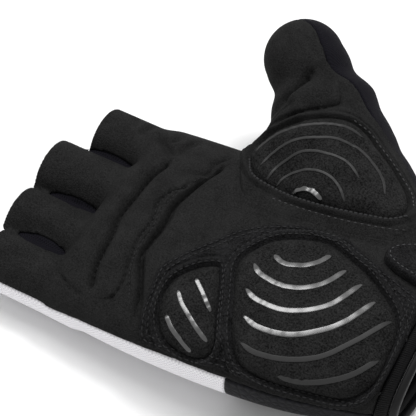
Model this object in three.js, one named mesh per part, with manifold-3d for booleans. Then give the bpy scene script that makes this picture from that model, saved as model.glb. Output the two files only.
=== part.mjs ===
// A half-finger cycling glove, lying on its back with the palm up and filled out as if worn.
// Lengths are in millimetres. The fingers point to -X, the thumb to +Y and the palm to +Z, and the floor is
// z = 0.
import * as THREE from "three";
import { mergeVertices } from "three/addons/utils/BufferGeometryUtils.js";
import Module from "manifold-3d";

const wasm = await Module();
wasm.setup();

// Driving sizes
const HAND_LENGTH = 124; // from the finger webs to the wrist hem
const HAND_WIDTH = 91; // across the knuckles
const HAND_DEPTH = 37; // from the back to the palm at the wrist
const FINGER_REACH = 30; // the middle finger stub, past the webs
const FINGER_WIDTH = 21.6; // across the middle finger stub
const FINGER_DEPTH = 22; // the same stub from back to palm
const THUMB_WIDTH = 30; // across the thumb's tip
const THUMB_DEPTH = 28.6; // the thumb's tip from back to palm
const THUMB_MOUTH = 9; // the thumb's opening lies this far past its last section
const THUMB_FOLD = 1.6; // depth of the fold across the thumb's joint
const WALL = 2; // suede or fabric with its lining
const GAP = 0.3; // between neighbouring pieces
const PATCH = 1.1; // thickness of an overlaid layer of suede
const PAD_RISE = 2.9; // a cushion above the suede that carries it
const TAB_RISE = 1.5; // the strap end above the palm
const GRIP_WIDTH = 1.7; // a silicone arc
const GRIP_RISE = 0.6; // a silicone arc above its cushion
const GRIP_STEP = 5.5; // between its sections
const CREASE_DEPTH = 1.2; // the creases across the knuckles
const CREASE_WIDTH = 2.6; // half the width of such a crease
const FOURCHETTE_HEIGHT = 13; // the strips between the fingers, from back to palm
const ELASTIC_WIDTH = 4; // the ribbed band at the wrist
const BINDING_WIDTH = 2.4; // the binding outside it
const BINDING_ROLL = 0.4; // the binding stands this far proud
const RIM = 1.2; // rounding at the mouth of a finger
const FINGER_ROUND = 2.4; // 2 would be an ellipse

const WEB_TO_ORIGIN = 0.25 * HAND_LENGTH;
const HEM = HAND_LENGTH - WEB_TO_ORIGIN;
const ELASTIC_END = HEM - BINDING_WIDTH - GAP;
const ELASTIC_START = ELASTIC_END - ELASTIC_WIDTH;
const SUEDE_END = ELASTIC_START - GAP;
const FAR = 2 * HAND_LENGTH;
const RIBS_AROUND_HAND = 36;
const RIBS_AROUND_FINGER = 16;
const RIBS_AROUND_THUMB = 20;
const HAND_STEPS = 10; // even sections along the hand, besides those at its creases
const HOLLOW_STEPS = 7; // even sections along the hand's hollow
const HOLLOW_START = 0.045; // where the hand's hollow starts, as a share of its length from the webs
const HOLLOW_END = 1.03; // past the hem, so that the wrist is open
const STRIP_REACH = 0.62; // a strip's reach round each finger beside it, as a share of half its width
const SINK = 0.7 * WALL; // how far an overlay's underside is sunk into the body before it is cut

// Turns a table with named columns into a list of rows.
function table(columns, lines) {
  return lines.map((line) => Object.fromEntries(columns.map((name, i) => [name, line[i]])));
}

// Sections of the hand. "at" is a share of the hand's length from the webs, "little" and "index" are shares
// of its width, "low" and "high" are shares of its depth, and "round" is 2 for an ellipse and more for a
// fuller form.
const HAND = table(
  ["at", "little", "index", "low", "high", "round"],
  [
    [0.0, -0.604, 0.275, 0.135, 0.54, 2.4],
    [0.024, -0.637, 0.302, 0.05, 0.66, 2.6],
    [0.089, -0.648, 0.319, -0.03, 0.73, 2.6],
    [0.25, -0.659, 0.33, -0.04, 0.784, 2.6],
    [0.411, -0.659, 0.341, -0.04, 0.838, 2.5],
    [0.573, -0.648, 0.363, -0.04, 0.919, 2.4],
    [0.734, -0.615, 0.363, -0.03, 0.973, 2.3],
    [0.895, -0.549, 0.319, -0.02, 1.0, 2.2],
    [1.0, -0.495, 0.275, -0.01, 1.0, 2.1],
  ],
);

// Creases across the palm below the fingers, as shares of the hand's length and of the crease's depth.
const CREASES = table(
  ["at", "deep"],
  [
    [0.09, 1.0],
    [0.203, 0.8],
  ],
);

// Finger stubs. "root" and "tip" are shares of the hand's width, the two heights are shares of its depth, and
// the rest are shares of the named finger sizes.
const FINGERS = table(
  ["name", "root", "tip", "rootHeight", "tipHeight", "reach", "wide", "deep"],
  [
    ["index", 0.173, 0.158, 0.35, 0.385, 0.733, 0.965, 1.0],
    ["middle", -0.076, -0.08, 0.35, 0.4, 1.0, 0.99, 1.0],
    ["ring", -0.314, -0.315, 0.324, 0.355, 0.967, 0.945, 0.955],
    ["little", -0.537, -0.54, 0.3, 0.33, 0.9, 0.9, 0.91],
  ],
);

// Sections of the thumb, from inside the wrist to the last one before its mouth. "at" is a share of the
// hand's length, "out" of its width and "up" of its depth. The others are shares of the thumb's sizes.
const THUMB = table(
  ["at", "out", "up", "wide", "deep", "fold"],
  [
    [0.944, 0.044, 0.405, 0.467, 0.42, 0],
    [0.75, 0.176, 0.486, 0.633, 0.542, 0],
    [0.65, 0.25, 0.52, 0.72, 0.575, 0],
    [0.56, 0.335, 0.6, 0.77, 0.59, 0],
    [0.476, 0.429, 0.703, 0.683, 0.559, 0],
    [0.41, 0.505, 0.79, 0.61, 0.54, 0.1],
    [0.365, 0.57, 0.88, 0.55, 0.52, 1],
    [0.325, 0.625, 0.95, 0.525, 0.51, 0.1],
    [0.29, 0.676, 1.027, 0.5, 0.5, 0],
  ],
);

// The fold of suede between the thumb and the index finger, in the same columns.
const WEB = table(
  ["at", "out", "up", "wide", "deep", "fold"],
  [
    [0.31, 0.15, 0.47, 0.2, 0.2, 0],
    [0.33, 0.19, 0.49, 0.34, 0.32, 0],
    [0.355, 0.231, 0.5, 0.39, 0.367, 0],
    [0.38, 0.33, 0.61, 0.43, 0.41, 0],
    [0.411, 0.44, 0.73, 0.467, 0.43, 0],
    [0.44, 0.53, 0.82, 0.4, 0.38, 0],
  ],
);

// The seam between palm and back, from the fingers to the wrist.
const SIDE_SEAM = table(
  ["at", "height"],
  [
    [-0.4, 0.38],
    [0.04, 0.38],
    [0.2, 0.45],
    [0.41, 0.52],
    [0.57, 0.56],
    [1.2, 0.56],
  ],
);
const BACK_SEAM = 0.57; // where the mesh back meets the navy cuff, as a share of the hand's length

// The edge between the thumb's suede and its stretch strip.
const THUMB_SEAM = table(
  ["at", "out", "up"],
  [
    [0.15, 0.85, 1.5],
    [0.272, 0.723, 1.39],
    [0.358, 0.64, 1.35],
    [0.469, 0.591, 1.17],
    [0.555, 0.524, 1.06],
    [0.612, 0.455, 1.0],
    [0.696, 0.35, 0.95],
    [0.8, 0.22, 0.93],
    [0.95, 0.05, 0.93],
  ],
);

// Outlines on the palm. "at" is a share of the hand's length and "across" a share of its width, measured in a
// plane that faces the side named with the outline.
const OUTLINE = ["at", "across"];
const FACING_PALM = new THREE.Vector3(0, 0, 1);
const FACING_HEEL = new THREE.Vector3(0, -Math.sin(Math.PI / 6), Math.cos(Math.PI / 6));

const HEEL_PATCH = table(OUTLINE, [
  [0.325, -0.446],
  [0.3, -0.384],
  [0.281, -0.262],
  [0.272, -0.185],
  [0.298, -0.111],
  [0.341, -0.034],
  [0.418, 0.089],
  [0.473, 0.132],
  [0.539, 0.169],
  [0.619, 0.187],
  [0.681, 0.19],
  [0.732, 0.163],
  [0.859, 0.118],
  [0.925, 0.085],
  [0.935, 0.05],
  [0.935, -0.28],
  [0.92, -0.316],
  [0.75, -0.39],
  [0.57, -0.42],
  [0.41, -0.443],
]);

const HEEL_PAD_LARGE = table(OUTLINE, [
  [0.455, -0.045],
  [0.474, 0.022],
  [0.505, 0.074],
  [0.559, 0.115],
  [0.635, 0.142],
  [0.713, 0.119],
  [0.779, 0.09],
  [0.832, 0.05],
  [0.885, 0.005],
  [0.915, -0.05],
  [0.925, -0.14],
  [0.92, -0.25],
  [0.885, -0.315],
  [0.765, -0.365],
  [0.645, -0.386],
  [0.592, -0.372],
  [0.552, -0.311],
  [0.501, -0.184],
]);

const HEEL_PAD_SMALL = table(OUTLINE, [
  [0.33, -0.201],
  [0.353, -0.152],
  [0.382, -0.116],
  [0.413, -0.1],
  [0.43, -0.129],
  [0.455, -0.19],
  [0.485, -0.275],
  [0.513, -0.357],
  [0.512, -0.395],
  [0.48, -0.42],
  [0.43, -0.422],
  [0.382, -0.405],
  [0.345, -0.35],
  [0.326, -0.272],
]);

const THENAR_PAD = table(OUTLINE, [
  [0.287, 0.245],
  [0.3, 0.205],
  [0.335, 0.152],
  [0.413, 0.118],
  [0.471, 0.107],
  [0.535, 0.104],
  [0.614, 0.113],
  [0.683, 0.127],
  [0.742, 0.15],
  [0.762, 0.195],
  [0.739, 0.285],
  [0.676, 0.35],
  [0.618, 0.392],
  [0.56, 0.43],
  [0.511, 0.435],
  [0.431, 0.392],
  [0.377, 0.355],
  [0.315, 0.315],
]);

// The part of the thumb's suede that laps over the palm.
const THUMB_FLAP = table(OUTLINE, [
  [0.278, 0.182],
  [0.304, 0.109],
  [0.347, 0.04],
  [0.434, 0.017],
  [0.524, 0.016],
  [0.6, 0.019],
  [0.68, 0.034],
  [0.75, 0.055],
  [0.825, 0.09],
  [0.84, 0.14],
  [0.82, 0.2],
  [0.7, 0.25],
  [0.58, 0.275],
  [0.45, 0.28],
  [0.35, 0.28],
  [0.29, 0.25],
]);

const CLOSURE_TAB = table(OUTLINE, [
  [0.781, 0.0],
  [0.79, -0.035],
  [0.82, -0.06],
  [0.89, -0.085],
  [0.93, -0.095],
  [0.932, 0.0],
  [0.93, 0.11],
  [0.87, 0.1],
  [0.82, 0.07],
  [0.79, 0.035],
]);

// Silicone arcs: the pad that each lies on, and the places that its middle line passes, as in the outlines.
const GRIPS = table(
  ["name", "pad", "line"],
  [
    ["heel_grip_1", "heel_pad_large", [[0.519, 0.036], [0.552, 0.02], [0.597, 0.032], [0.65, 0.105]]],
    ["heel_grip_2", "heel_pad_large", [[0.49, -0.031], [0.56, -0.057], [0.631, -0.039], [0.711, 0.08]]],
    ["heel_grip_3", "heel_pad_large", [[0.518, -0.128], [0.59, -0.139], [0.668, -0.109], [0.765, 0.05]]],
    ["heel_grip_4", "heel_pad_large", [[0.553, -0.219], [0.64, -0.215], [0.726, -0.158], [0.817, 0.004]]],
    ["heel_grip_5", "heel_pad_large", [[0.585, -0.301], [0.68, -0.284], [0.771, -0.224], [0.875, -0.02]]],
    ["heel_grip_6", "heel_pad_large", [[0.69, -0.345], [0.78, -0.312], [0.85, -0.25], [0.9, -0.15]]],
    ["side_grip_1", "heel_pad_small", [[0.376, -0.168], [0.408, -0.195], [0.443, -0.232]]],
    ["side_grip_2", "heel_pad_small", [[0.352, -0.234], [0.402, -0.283], [0.47, -0.335]]],
    ["side_grip_3", "heel_pad_small", [[0.36, -0.328], [0.405, -0.368], [0.445, -0.392]]],
    ["thenar_grip_1", "thenar_pad", [[0.32, 0.288], [0.385, 0.332], [0.46, 0.371], [0.54, 0.392]]],
    ["thenar_grip_2", "thenar_pad", [[0.32, 0.22], [0.395, 0.3], [0.503, 0.352], [0.61, 0.34], [0.66, 0.3]]],
    ["thenar_grip_3", "thenar_pad", [[0.352, 0.166], [0.412, 0.262], [0.505, 0.299], [0.595, 0.271]]],
    ["thenar_grip_4", "thenar_pad", [[0.384, 0.156], [0.446, 0.226], [0.538, 0.223], [0.61, 0.145]]],
    ["thenar_grip_5", "thenar_pad", [[0.433, 0.14], [0.456, 0.159], [0.487, 0.164], [0.54, 0.137]]],
  ],
);

const SUEDE = { color: 0x2a2a2a, roughness: 0.95 };
const STRETCH = { color: 0x1f1e22, roughness: 0.85 };
const RIPSTOP = { color: 0x25242c, roughness: 0.8 };
const MESH_FABRIC = { color: 0xe6e3ea, roughness: 0.8 };
const SILICONE = { color: 0x8f8f92, roughness: 0.25 };
const ELASTIC = { color: 0x1a1a1b, roughness: 0.7 };
const BINDING = { color: 0x161617, roughness: 0.6 };

// Turns shares of the hand's sizes into a place.
function place({ at, out = 0, up = 0 }) {
  return new THREE.Vector3(at * HAND_LENGTH - WEB_TO_ORIGIN, out * HAND_WIDTH, up * HAND_DEPTH);
}

// A table's row at a place between its rows.
function between(rows, at) {
  const next = Math.min(Math.max(rows.findIndex((row) => row.at >= at), 1), rows.length - 1);
  const after = at > rows[next].at ? rows.length - 1 : next;
  const [a, b] = [rows[after - 1], rows[after]];
  const share = (at - a.at) / (b.at - a.at);
  return Object.fromEntries(Object.keys(a).map((name) => [name, a[name] + (b[name] - a[name]) * share]));
}

// A closed solid from points and triangles, turned to face out.
function solid(points, faces) {
  let volume = 0;
  for (let i = 0; i < faces.length; i += 3) {
    const [a, b, c] = faces.slice(i, i + 3).map((corner) => points[corner]);
    volume += a.dot(b.clone().cross(c));
  }
  const outward = volume < 0 ? faces.slice().reverse() : faces;
  return solidFromGeometry(new THREE.BufferGeometry().setFromPoints(points).setIndex(outward));
}

function solidFromGeometry(geometry) {
  geometry.deleteAttribute("normal");
  geometry.deleteAttribute("uv");
  const merged = mergeVertices(geometry);
  const mesh = new wasm.Mesh({
    numProp: 3,
    vertProperties: merged.attributes.position.array,
    triVerts: Uint32Array.from(merged.index.array),
  });
  return new wasm.Manifold(mesh);
}

function geometryFromSolid(body) {
  const { vertProperties, numProp, triVerts } = body.getMesh();
  const geometry = new THREE.BufferGeometry();
  geometry.setAttribute("position", new THREE.BufferAttribute(vertProperties, numProp));
  geometry.setIndex(new THREE.BufferAttribute(triVerts, 1));
  return geometry;
}

// A skin through rings of equally many points, with a fan over the first and last ring.
function loft(rings) {
  const around = rings[0].length;
  const points = rings.flat();
  const faces = [];
  for (let i = 0; i + 1 < rings.length; i += 1) {
    for (let j = 0; j < around; j += 1) {
      const [a, b] = [i * around + j, i * around + ((j + 1) % around)];
      faces.push(a, b, b + around, a, b + around, a + around);
    }
  }
  [0, rings.length - 1].forEach((i) => {
    const middle = rings[i].reduce((sum, point) => sum.add(point), new THREE.Vector3());
    points.push(middle.divideScalar(around));
    for (let j = 0; j < around; j += 1) {
      const [a, b] = [i * around + j, i * around + ((j + 1) % around)];
      faces.push(...(i === 0 ? [b, a] : [a, b]), points.length - 1);
    }
  });
  return solid(points, faces);
}

function joined(bodies) {
  return bodies.reduce((all, body) => all.add(body));
}

function box(low, high) {
  const size = high.clone().sub(low);
  const geometry = new THREE.BoxGeometry(size.x, size.y, size.z);
  const middle = low.clone().add(high).multiplyScalar(0.5);
  return solidFromGeometry(geometry.translate(middle.x, middle.y, middle.z));
}

// Everything between two places along the hand.
function stretch(from, to) {
  return box(new THREE.Vector3(from, -FAR, -FAR), new THREE.Vector3(to, FAR, FAR));
}

// A sine or cosine bent so that the ellipse drawn with it becomes a fuller form.
function fuller(value, round) {
  return Math.sign(value) * Math.abs(value) ** (2 / round);
}

// One section of the hand, grown outwards. Its underside is flattened where the glove lies on its back, and
// its top is pressed in at the creases.
function handRing(at, grow, floor) {
  const row = between(HAND, at);
  const [left, right] = [row.little * HAND_WIDTH, row.index * HAND_WIDTH];
  const [low, high] = [row.low * HAND_DEPTH, row.high * HAND_DEPTH];
  const crease = grow < 0 ? 0 : CREASES.reduce((sum, { at: middle, deep }) => {
    const away = ((at - middle) * HAND_LENGTH) / CREASE_WIDTH;
    return sum + deep * CREASE_DEPTH * Math.exp(-away * away);
  }, 0);
  return Array.from({ length: RIBS_AROUND_HAND }, (_, j) => {
    const turn = (2 * Math.PI * (j + 0.5)) / RIBS_AROUND_HAND;
    const [across, over] = [fuller(Math.cos(turn), row.round), fuller(Math.sin(turn), row.round)];
    const y = (left + right) / 2 + across * ((right - left) / 2 + grow);
    const z = (low + high) / 2 + over * ((high - low) / 2 + grow) - crease * Math.max(over, 0) ** 2;
    return new THREE.Vector3(at * HAND_LENGTH - WEB_TO_ORIGIN, y, Math.max(z, floor));
  });
}

// The hand between two places, as shares of its length.
function hand(from, to, grow, count, floor = -grow) {
  const even = Array.from({ length: count + 1 }, (_, i) => from + ((to - from) * i) / count);
  const aside = CREASE_WIDTH / HAND_LENGTH;
  const near = CREASES.flatMap(({ at }) => [at - aside, at, at + aside]);
  const apart = (at, other) => Math.abs(at - other) * HAND_LENGTH > CREASE_WIDTH / 2;
  const clear = even.filter((at) => near.every((other) => apart(at, other)));
  const creased = [...new Set([from, ...clear, ...near, to])].filter((at) => at >= from && at <= to);
  const stations = grow < 0 ? even : creased.sort((a, b) => a - b);
  return loft(stations.map((at) => handRing(at, grow, floor)));
}

// One finger stub. A hollow runs past the mouth, and a body has a rounded rim.
function finger(row, grow) {
  const hollow = grow < 0;
  const rootX = FINGER_DEPTH / 2 - WEB_TO_ORIGIN;
  const tipX = -row.reach * FINGER_REACH - WEB_TO_ORIGIN + WALL;
  const inner = [[rootX, 0], [tipX + RIM, 0], [tipX - RIM, RIM / 2], [tipX - WALL, RIM / 2]];
  const rim = [[tipX + 2 * RIM, 0], [tipX + RIM / 2, RIM / 3], [tipX - grow, RIM]];
  const stations = hollow ? inner : [[rootX, 0], [(rootX + tipX) / 2, 0], ...rim];
  return loft(stations.map(([x, inset]) => {
    const share = THREE.MathUtils.clamp((x - rootX) / (tipX - rootX), 0, 1);
    const y = THREE.MathUtils.lerp(row.root, row.tip, share) * HAND_WIDTH;
    const z = THREE.MathUtils.lerp(row.rootHeight, row.tipHeight, share) * HAND_DEPTH;
    return Array.from({ length: RIBS_AROUND_FINGER }, (_, j) => {
      const turn = (2 * Math.PI * (j + 0.5)) / RIBS_AROUND_FINGER;
      const [across, over] = [fuller(Math.cos(turn), FINGER_ROUND), fuller(Math.sin(turn), FINGER_ROUND)];
      const half = (row.wide * FINGER_WIDTH) / 2 + grow - inset;
      const tall = (row.deep * FINGER_DEPTH) / 2 + grow - inset;
      return new THREE.Vector3(x, y + across * half, z + over * tall);
    });
  }));
}

// Rings square to the line through the sections of the thumb or of its web.
function thumbRings(rows, grow) {
  const middles = rows.map(place);
  return rows.map((row, i) => {
    const [before, after] = [middles[Math.max(i - 1, 0)], middles[Math.min(i + 1, rows.length - 1)]];
    const along = after.clone().sub(before).normalize();
    return thumbRing(middles[i], along, row, 1, grow);
  });
}

function thumbRing(middle, along, row, share, grow) {
  const side = along.clone().cross(FACING_PALM).normalize();
  const up = side.clone().cross(along);
  const [wide, deep] = [row.wide * THUMB_WIDTH * share + grow, row.deep * THUMB_DEPTH * share + grow];
  return Array.from({ length: RIBS_AROUND_THUMB }, (_, j) => {
    const turn = (2 * Math.PI * (j + 0.5)) / RIBS_AROUND_THUMB;
    const fold = grow < 0 ? 0 : row.fold * THUMB_FOLD * Math.max(Math.sin(turn), 0);
    const point = middle.clone().addScaledVector(side, Math.cos(turn) * wide);
    return point.addScaledVector(up, Math.sin(turn) * deep - fold);
  });
}

// The thumb, which narrows towards its mouth like the end of an egg.
function thumb(grow) {
  const rings = thumbRings(THUMB, grow);
  const last = THUMB[THUMB.length - 1];
  const middle = place(last);
  const along = middle.clone().sub(place(THUMB[THUMB.length - 2])).normalize();
  const past = grow < 0 ? [0.55, 1, 1.4] : [0.3, 0.55, 0.8, 1];
  past.forEach((share) => {
    const away = Math.min(share, 1) * THUMB_MOUTH;
    const narrow = Math.sqrt(1 - (away / (THUMB_DEPTH / 2)) ** 2);
    const reach = share * THUMB_MOUTH + Math.max(grow, 0);
    rings.push(thumbRing(middle.clone().addScaledVector(along, reach), along, last, narrow, grow));
  });
  return loft(rings).add(loft(thumbRings(WEB, grow)));
}

// Everything above or below the seam between palm and back.
function besideSeam(above, gap) {
  const side = above ? 1 : -1;
  const line = SIDE_SEAM.map(({ at, height }) => {
    return new THREE.Vector2(at * HAND_LENGTH - WEB_TO_ORIGIN, height * HAND_DEPTH + side * gap);
  });
  const [first, last] = [line[0], line[line.length - 1]];
  const beyond = [last, first].map(({ x }) => new THREE.Vector2(x, side * FAR));
  const shape = new THREE.Shape([...line, ...beyond]);
  const geometry = new THREE.ExtrudeGeometry(shape, { depth: 2 * FAR, bevelEnabled: false });
  return solidFromGeometry(geometry.rotateX(Math.PI / 2).translate(0, FAR, 0));
}

// Everything on the outer side of the edge of the thumb's suede.
function outsideThumbSeam(gap) {
  const out = new THREE.Vector3(1, 1, 0).normalize();
  const down = new THREE.Vector3(0.05, -0.45, -0.9).normalize();
  const [above, below] = [-HAND_DEPTH, 2 * HAND_DEPTH];
  const corners = [[0, above], [0, below], [HAND_WIDTH, below], [HAND_WIDTH, above]];
  return loft(THUMB_SEAM.map((row) => {
    const edge = place(row).addScaledVector(out, gap);
    return corners.map(([outward, downward]) => {
      return edge.clone().addScaledVector(out, outward).addScaledVector(down, downward);
    });
  }));
}

// The room for the strip between two neighbouring fingers.
function betweenFingers(a, b, gap) {
  const reach = (row) => (STRIP_REACH * row.wide * FINGER_WIDTH) / 2;
  const sideways = (row, toward) => row.root * HAND_WIDTH + toward * reach(row);
  const middle = ((a.rootHeight + b.rootHeight) / 2) * HAND_DEPTH;
  const half = FOURCHETTE_HEIGHT / 2 + gap;
  return box(
    new THREE.Vector3(-FAR, sideways(b, 1) - gap, middle - half),
    new THREE.Vector3(FINGER_DEPTH / 4 - WEB_TO_ORIGIN + gap, sideways(a, -1) + gap, middle + half),
  );
}

// The highest point of a body, seen along "facing", over a place in the plane that faces that way.
function drop(carrier, flat, facing, across) {
  const start = new THREE.Vector3(flat.x, 0, 0).addScaledVector(across, flat.y).addScaledVector(facing, FAR);
  const hits = new THREE.Raycaster(start, facing.clone().negate()).intersectObject(carrier);
  if (hits.length === 0) {
    throw new Error("an outline runs off the body that carries it");
  }
  return hits[0].point;
}

// A sheet or cushion that lies on a body. Rings inside its outline are dropped onto the body along "facing".
// The top stands off by the named rise times the profile's height, and the underside sinks in for a later
// cut.
function drape(carrier, outline, facing, rise, profile, grow = 0) {
  const across = new THREE.Vector3(0, facing.z, -facing.y);
  const points = outline.map(({ at, across: out }) => place({ at, out }));
  const edge = new THREE.CatmullRomCurve3(points, true, "centripetal").getPoints(2 * outline.length).slice(1);
  const middle = edge.reduce((sum, point) => sum.add(point), new THREE.Vector3()).divideScalar(edge.length);
  const rings = profile.map(([share, height]) => edge.map((point) => {
    const away = point.clone().sub(middle);
    const flat = middle.clone().addScaledVector(away, share + grow / away.length());
    return { seat: drop(carrier, flat, facing, across), lift: height * rise + grow };
  }));
  const centre = { seat: drop(carrier, middle, facing, across), lift: rise + grow };
  const top = ({ seat, lift }) => seat.clone().addScaledVector(facing, lift);
  const under = ({ seat }) => seat.clone().addScaledVector(facing, -SINK);
  const around = edge.length;
  const layer = rings.flat();
  const all = [...layer.map(top), top(centre), ...layer.map(under), under(centre)];
  const size = layer.length + 1;
  const faces = [];
  for (let j = 0; j < around; j += 1) {
    const next = (j + 1) % around;
    for (let i = 0; i + 1 < rings.length; i += 1) {
      const [a, b] = [i * around + j, i * around + next];
      faces.push(a, b, b + around, a, b + around, a + around);
      faces.push(size + b, size + a, size + b + around, size + a, size + a + around, size + b + around);
    }
    const [a, b] = [(rings.length - 1) * around + j, (rings.length - 1) * around + next];
    faces.push(a, b, size - 1, size + b, size + a, 2 * size - 1);
    faces.push(size + j, size + next, next, size + j, next, j);
  }
  return solid(all, faces);
}

// A silicone arc along the top of a pad. Each of its sections drops its lower corners onto the pad.
function grip(carrier, line, facing) {
  const across = new THREE.Vector3(0, facing.z, -facing.y);
  const flat = line.map(([at, out]) => place({ at, out }));
  const curve = new THREE.CatmullRomCurve3(flat, false, "centripetal");
  const steps = Math.ceil(curve.getLength() / GRIP_STEP);
  return loft(curve.getSpacedPoints(steps).map((point, i) => {
    const ahead = curve.getTangentAt(i / steps);
    const half = (GRIP_WIDTH / 2) * (i === 0 || i === steps ? 0.5 : 1);
    return [[1, GAP], [-1, GAP], [-0.7, GAP + GRIP_RISE], [0.7, GAP + GRIP_RISE]].map(([sideways, up]) => {
      const aside = new THREE.Vector2(-ahead.y, ahead.x).multiplyScalar(sideways * half);
      return drop(carrier, aside.add(point), facing, across).addScaledVector(facing, up);
    });
  }));
}

// The whole form, grown outwards or shrunk to the hollow.
function handForm(grow) {
  const fingers = FINGERS.map((row) => finger(row, grow));
  return joined([hand(-grow / HAND_LENGTH, 1, grow, HAND_STEPS), ...fingers]);
}

const fingerHollows = FINGERS.map((row) => finger(row, -WALL));
const hollow = joined([hand(HOLLOW_START, HOLLOW_END, -WALL, HOLLOW_STEPS), ...fingerHollows]);
const thumbHollow = thumb(-WALL);
const handBody = handForm(0);
const thumbBody = thumb(0).subtract(box(new THREE.Vector3(-FAR, -FAR, -FAR), new THREE.Vector3(FAR, FAR, 0)));
const handGrown = handForm(GAP);
const thumbGrown = thumb(GAP);
const handShell = handBody.subtract(hollow).subtract(thumbHollow);

// The strips between the fingers
const pairs = FINGERS.slice(1).map((row, i) => [FINGERS[i], row]);
const fourchettes = pairs.map(([a, b]) => ({
  name: `fourchette_${a.name}_${b.name}`,
  body: handShell.intersect(betweenFingers(a, b, -GAP / 2)),
}));
const withoutStrips = pairs.reduce((body, [a, b]) => body.subtract(betweenFingers(a, b, GAP / 2)), handShell);

// Palm, back and cuff
const backX = place({ at: BACK_SEAM }).x;
const panels = withoutStrips.intersect(stretch(-FAR, SUEDE_END));
const palm = panels.intersect(besideSeam(true, GAP / 2));
const underside = panels.intersect(besideSeam(false, GAP / 2));
const back = underside.intersect(stretch(-FAR, backX - GAP / 2));
const backCuff = underside.intersect(stretch(backX + GAP / 2, FAR));

// The bands round the wrist
function band(from, to, grow) {
  const shareOf = (x) => (x + WEB_TO_ORIGIN) / HAND_LENGTH;
  return hand(shareOf(from), shareOf(to), grow, 1, 0).subtract(hollow);
}
const elastic = band(ELASTIC_START, ELASTIC_END, 0);
const binding = band(ELASTIC_END + GAP, HEM, BINDING_ROLL);

// What the overlays and pads lie on
const carrierBody = handBody.add(thumbBody);
const doubleSided = new THREE.MeshStandardMaterial({ side: THREE.DoubleSide });
const meshOf = (body) => new THREE.Mesh(geometryFromSolid(body), doubleSided);
const carrier = meshOf(carrierBody);
const FLAT = [[1, 1], [0.75, 1], [0.5, 1], [0.25, 1]];
const DOMED = [[1, 0.5], [0.93, 0.86], [0.72, 1], [0.36, 1]];
const STEP = GAP + PATCH;

const handAndThumb = handGrown.add(thumbGrown);
const heelPatch = drape(carrier, HEEL_PATCH, FACING_HEEL, STEP, FLAT).subtract(handAndThumb);
const heelPatchGrown = drape(carrier, HEEL_PATCH, FACING_HEEL, STEP, FLAT, GAP);
const flap = drape(carrier, THUMB_FLAP, FACING_PALM, STEP, FLAT);
const flapGrown = drape(carrier, THUMB_FLAP, FACING_PALM, STEP, FLAT, GAP);

// The thumb, whose suede laps over the palm
const thumbShell = thumbBody.add(flap).subtract(handGrown).subtract(thumbHollow).subtract(hollow);
const thumbPanel = thumbShell.subtract(outsideThumbSeam(-GAP / 2));
const thumbBack = thumbShell.intersect(outsideThumbSeam(GAP / 2));

// Cushions, each with the mesh that its arcs lie on and the form that keeps them clear of a steep side
const PADS = [
  { name: "heel_pad_large", outline: HEEL_PAD_LARGE, facing: FACING_HEEL },
  { name: "heel_pad_small", outline: HEEL_PAD_SMALL, facing: FACING_HEEL },
  { name: "thenar_pad", outline: THENAR_PAD, facing: FACING_PALM },
];
const seats = joined([handAndThumb, heelPatchGrown, flapGrown]);
const pads = PADS.map(({ name, outline, facing }) => {
  const rise = STEP + GAP + PAD_RISE;
  const body = drape(carrier, outline, facing, rise, DOMED).subtract(seats);
  const clear = drape(carrier, outline, facing, rise, DOMED, GAP / 2);
  return { name, facing, body, clear, top: meshOf(body) };
});
const grips = GRIPS.map(({ name, pad, line }) => {
  const { facing, clear, top } = pads.find((one) => one.name === pad);
  return { name, body: grip(top, line, facing).subtract(clear) };
});
const tab = drape(carrier, CLOSURE_TAB, FACING_PALM, STEP + GAP + TAB_RISE, FLAT).subtract(seats);

// The largest body of a cut, without the slivers that a curved cut can leave
function largest(body) {
  return body.decompose().sort((a, b) => b.volume() - a.volume())[0];
}

const group = new THREE.Group();
function addPiece(name, body, finish) {
  const mesh = new THREE.Mesh(geometryFromSolid(largest(body)), new THREE.MeshStandardMaterial(finish));
  mesh.name = name;
  group.add(mesh);
}

addPiece("palm_panel", palm, SUEDE);
addPiece("back_panel", back, MESH_FABRIC);
addPiece("back_cuff", backCuff, RIPSTOP);
fourchettes.forEach(({ name, body }) => addPiece(name, body, STRETCH));
addPiece("thumb_panel", thumbPanel, SUEDE);
addPiece("thumb_back", thumbBack, STRETCH);
addPiece("heel_patch", heelPatch, SUEDE);
pads.forEach(({ name, body }) => addPiece(name, body, SUEDE));
grips.forEach(({ name, body }) => addPiece(name, body, SILICONE));
addPiece("closure_tab", tab, SUEDE);
addPiece("cuff_elastic", elastic, ELASTIC);
addPiece("cuff_binding", binding, BINDING);

export default group;
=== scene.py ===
"""A half-finger cycling glove, lying on its back with the palm up and filled out as if worn.

Lengths in this file are in millimetres and turn into metres where an object is made. The fingers point to -X,
the thumb to +Y and the palm to +Z, and the floor is z = 0.

The hand branches at its fingers and its thumb, so the panels are read from one field of the whole glove. The
overlays, cushions, arcs, bands and stitches are surfaces of two parameters that are laid on the same field.
"""
import itertools
import math

import bpy
import numpy as np
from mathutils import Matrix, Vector


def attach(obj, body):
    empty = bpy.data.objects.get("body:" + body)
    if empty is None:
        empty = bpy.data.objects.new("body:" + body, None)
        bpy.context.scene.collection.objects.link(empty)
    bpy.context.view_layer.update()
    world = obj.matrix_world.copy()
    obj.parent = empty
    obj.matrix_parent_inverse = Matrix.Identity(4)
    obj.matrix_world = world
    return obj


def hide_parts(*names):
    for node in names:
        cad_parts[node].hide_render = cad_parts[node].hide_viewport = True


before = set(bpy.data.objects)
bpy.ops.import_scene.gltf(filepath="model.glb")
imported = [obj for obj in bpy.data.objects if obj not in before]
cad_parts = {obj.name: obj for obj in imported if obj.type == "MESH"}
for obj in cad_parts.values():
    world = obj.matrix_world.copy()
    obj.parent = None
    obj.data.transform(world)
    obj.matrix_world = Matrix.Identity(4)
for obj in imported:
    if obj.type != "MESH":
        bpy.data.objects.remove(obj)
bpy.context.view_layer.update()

MM = 0.001
CELL = 0.75  # spacing of the grid that the panels are read from
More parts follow.
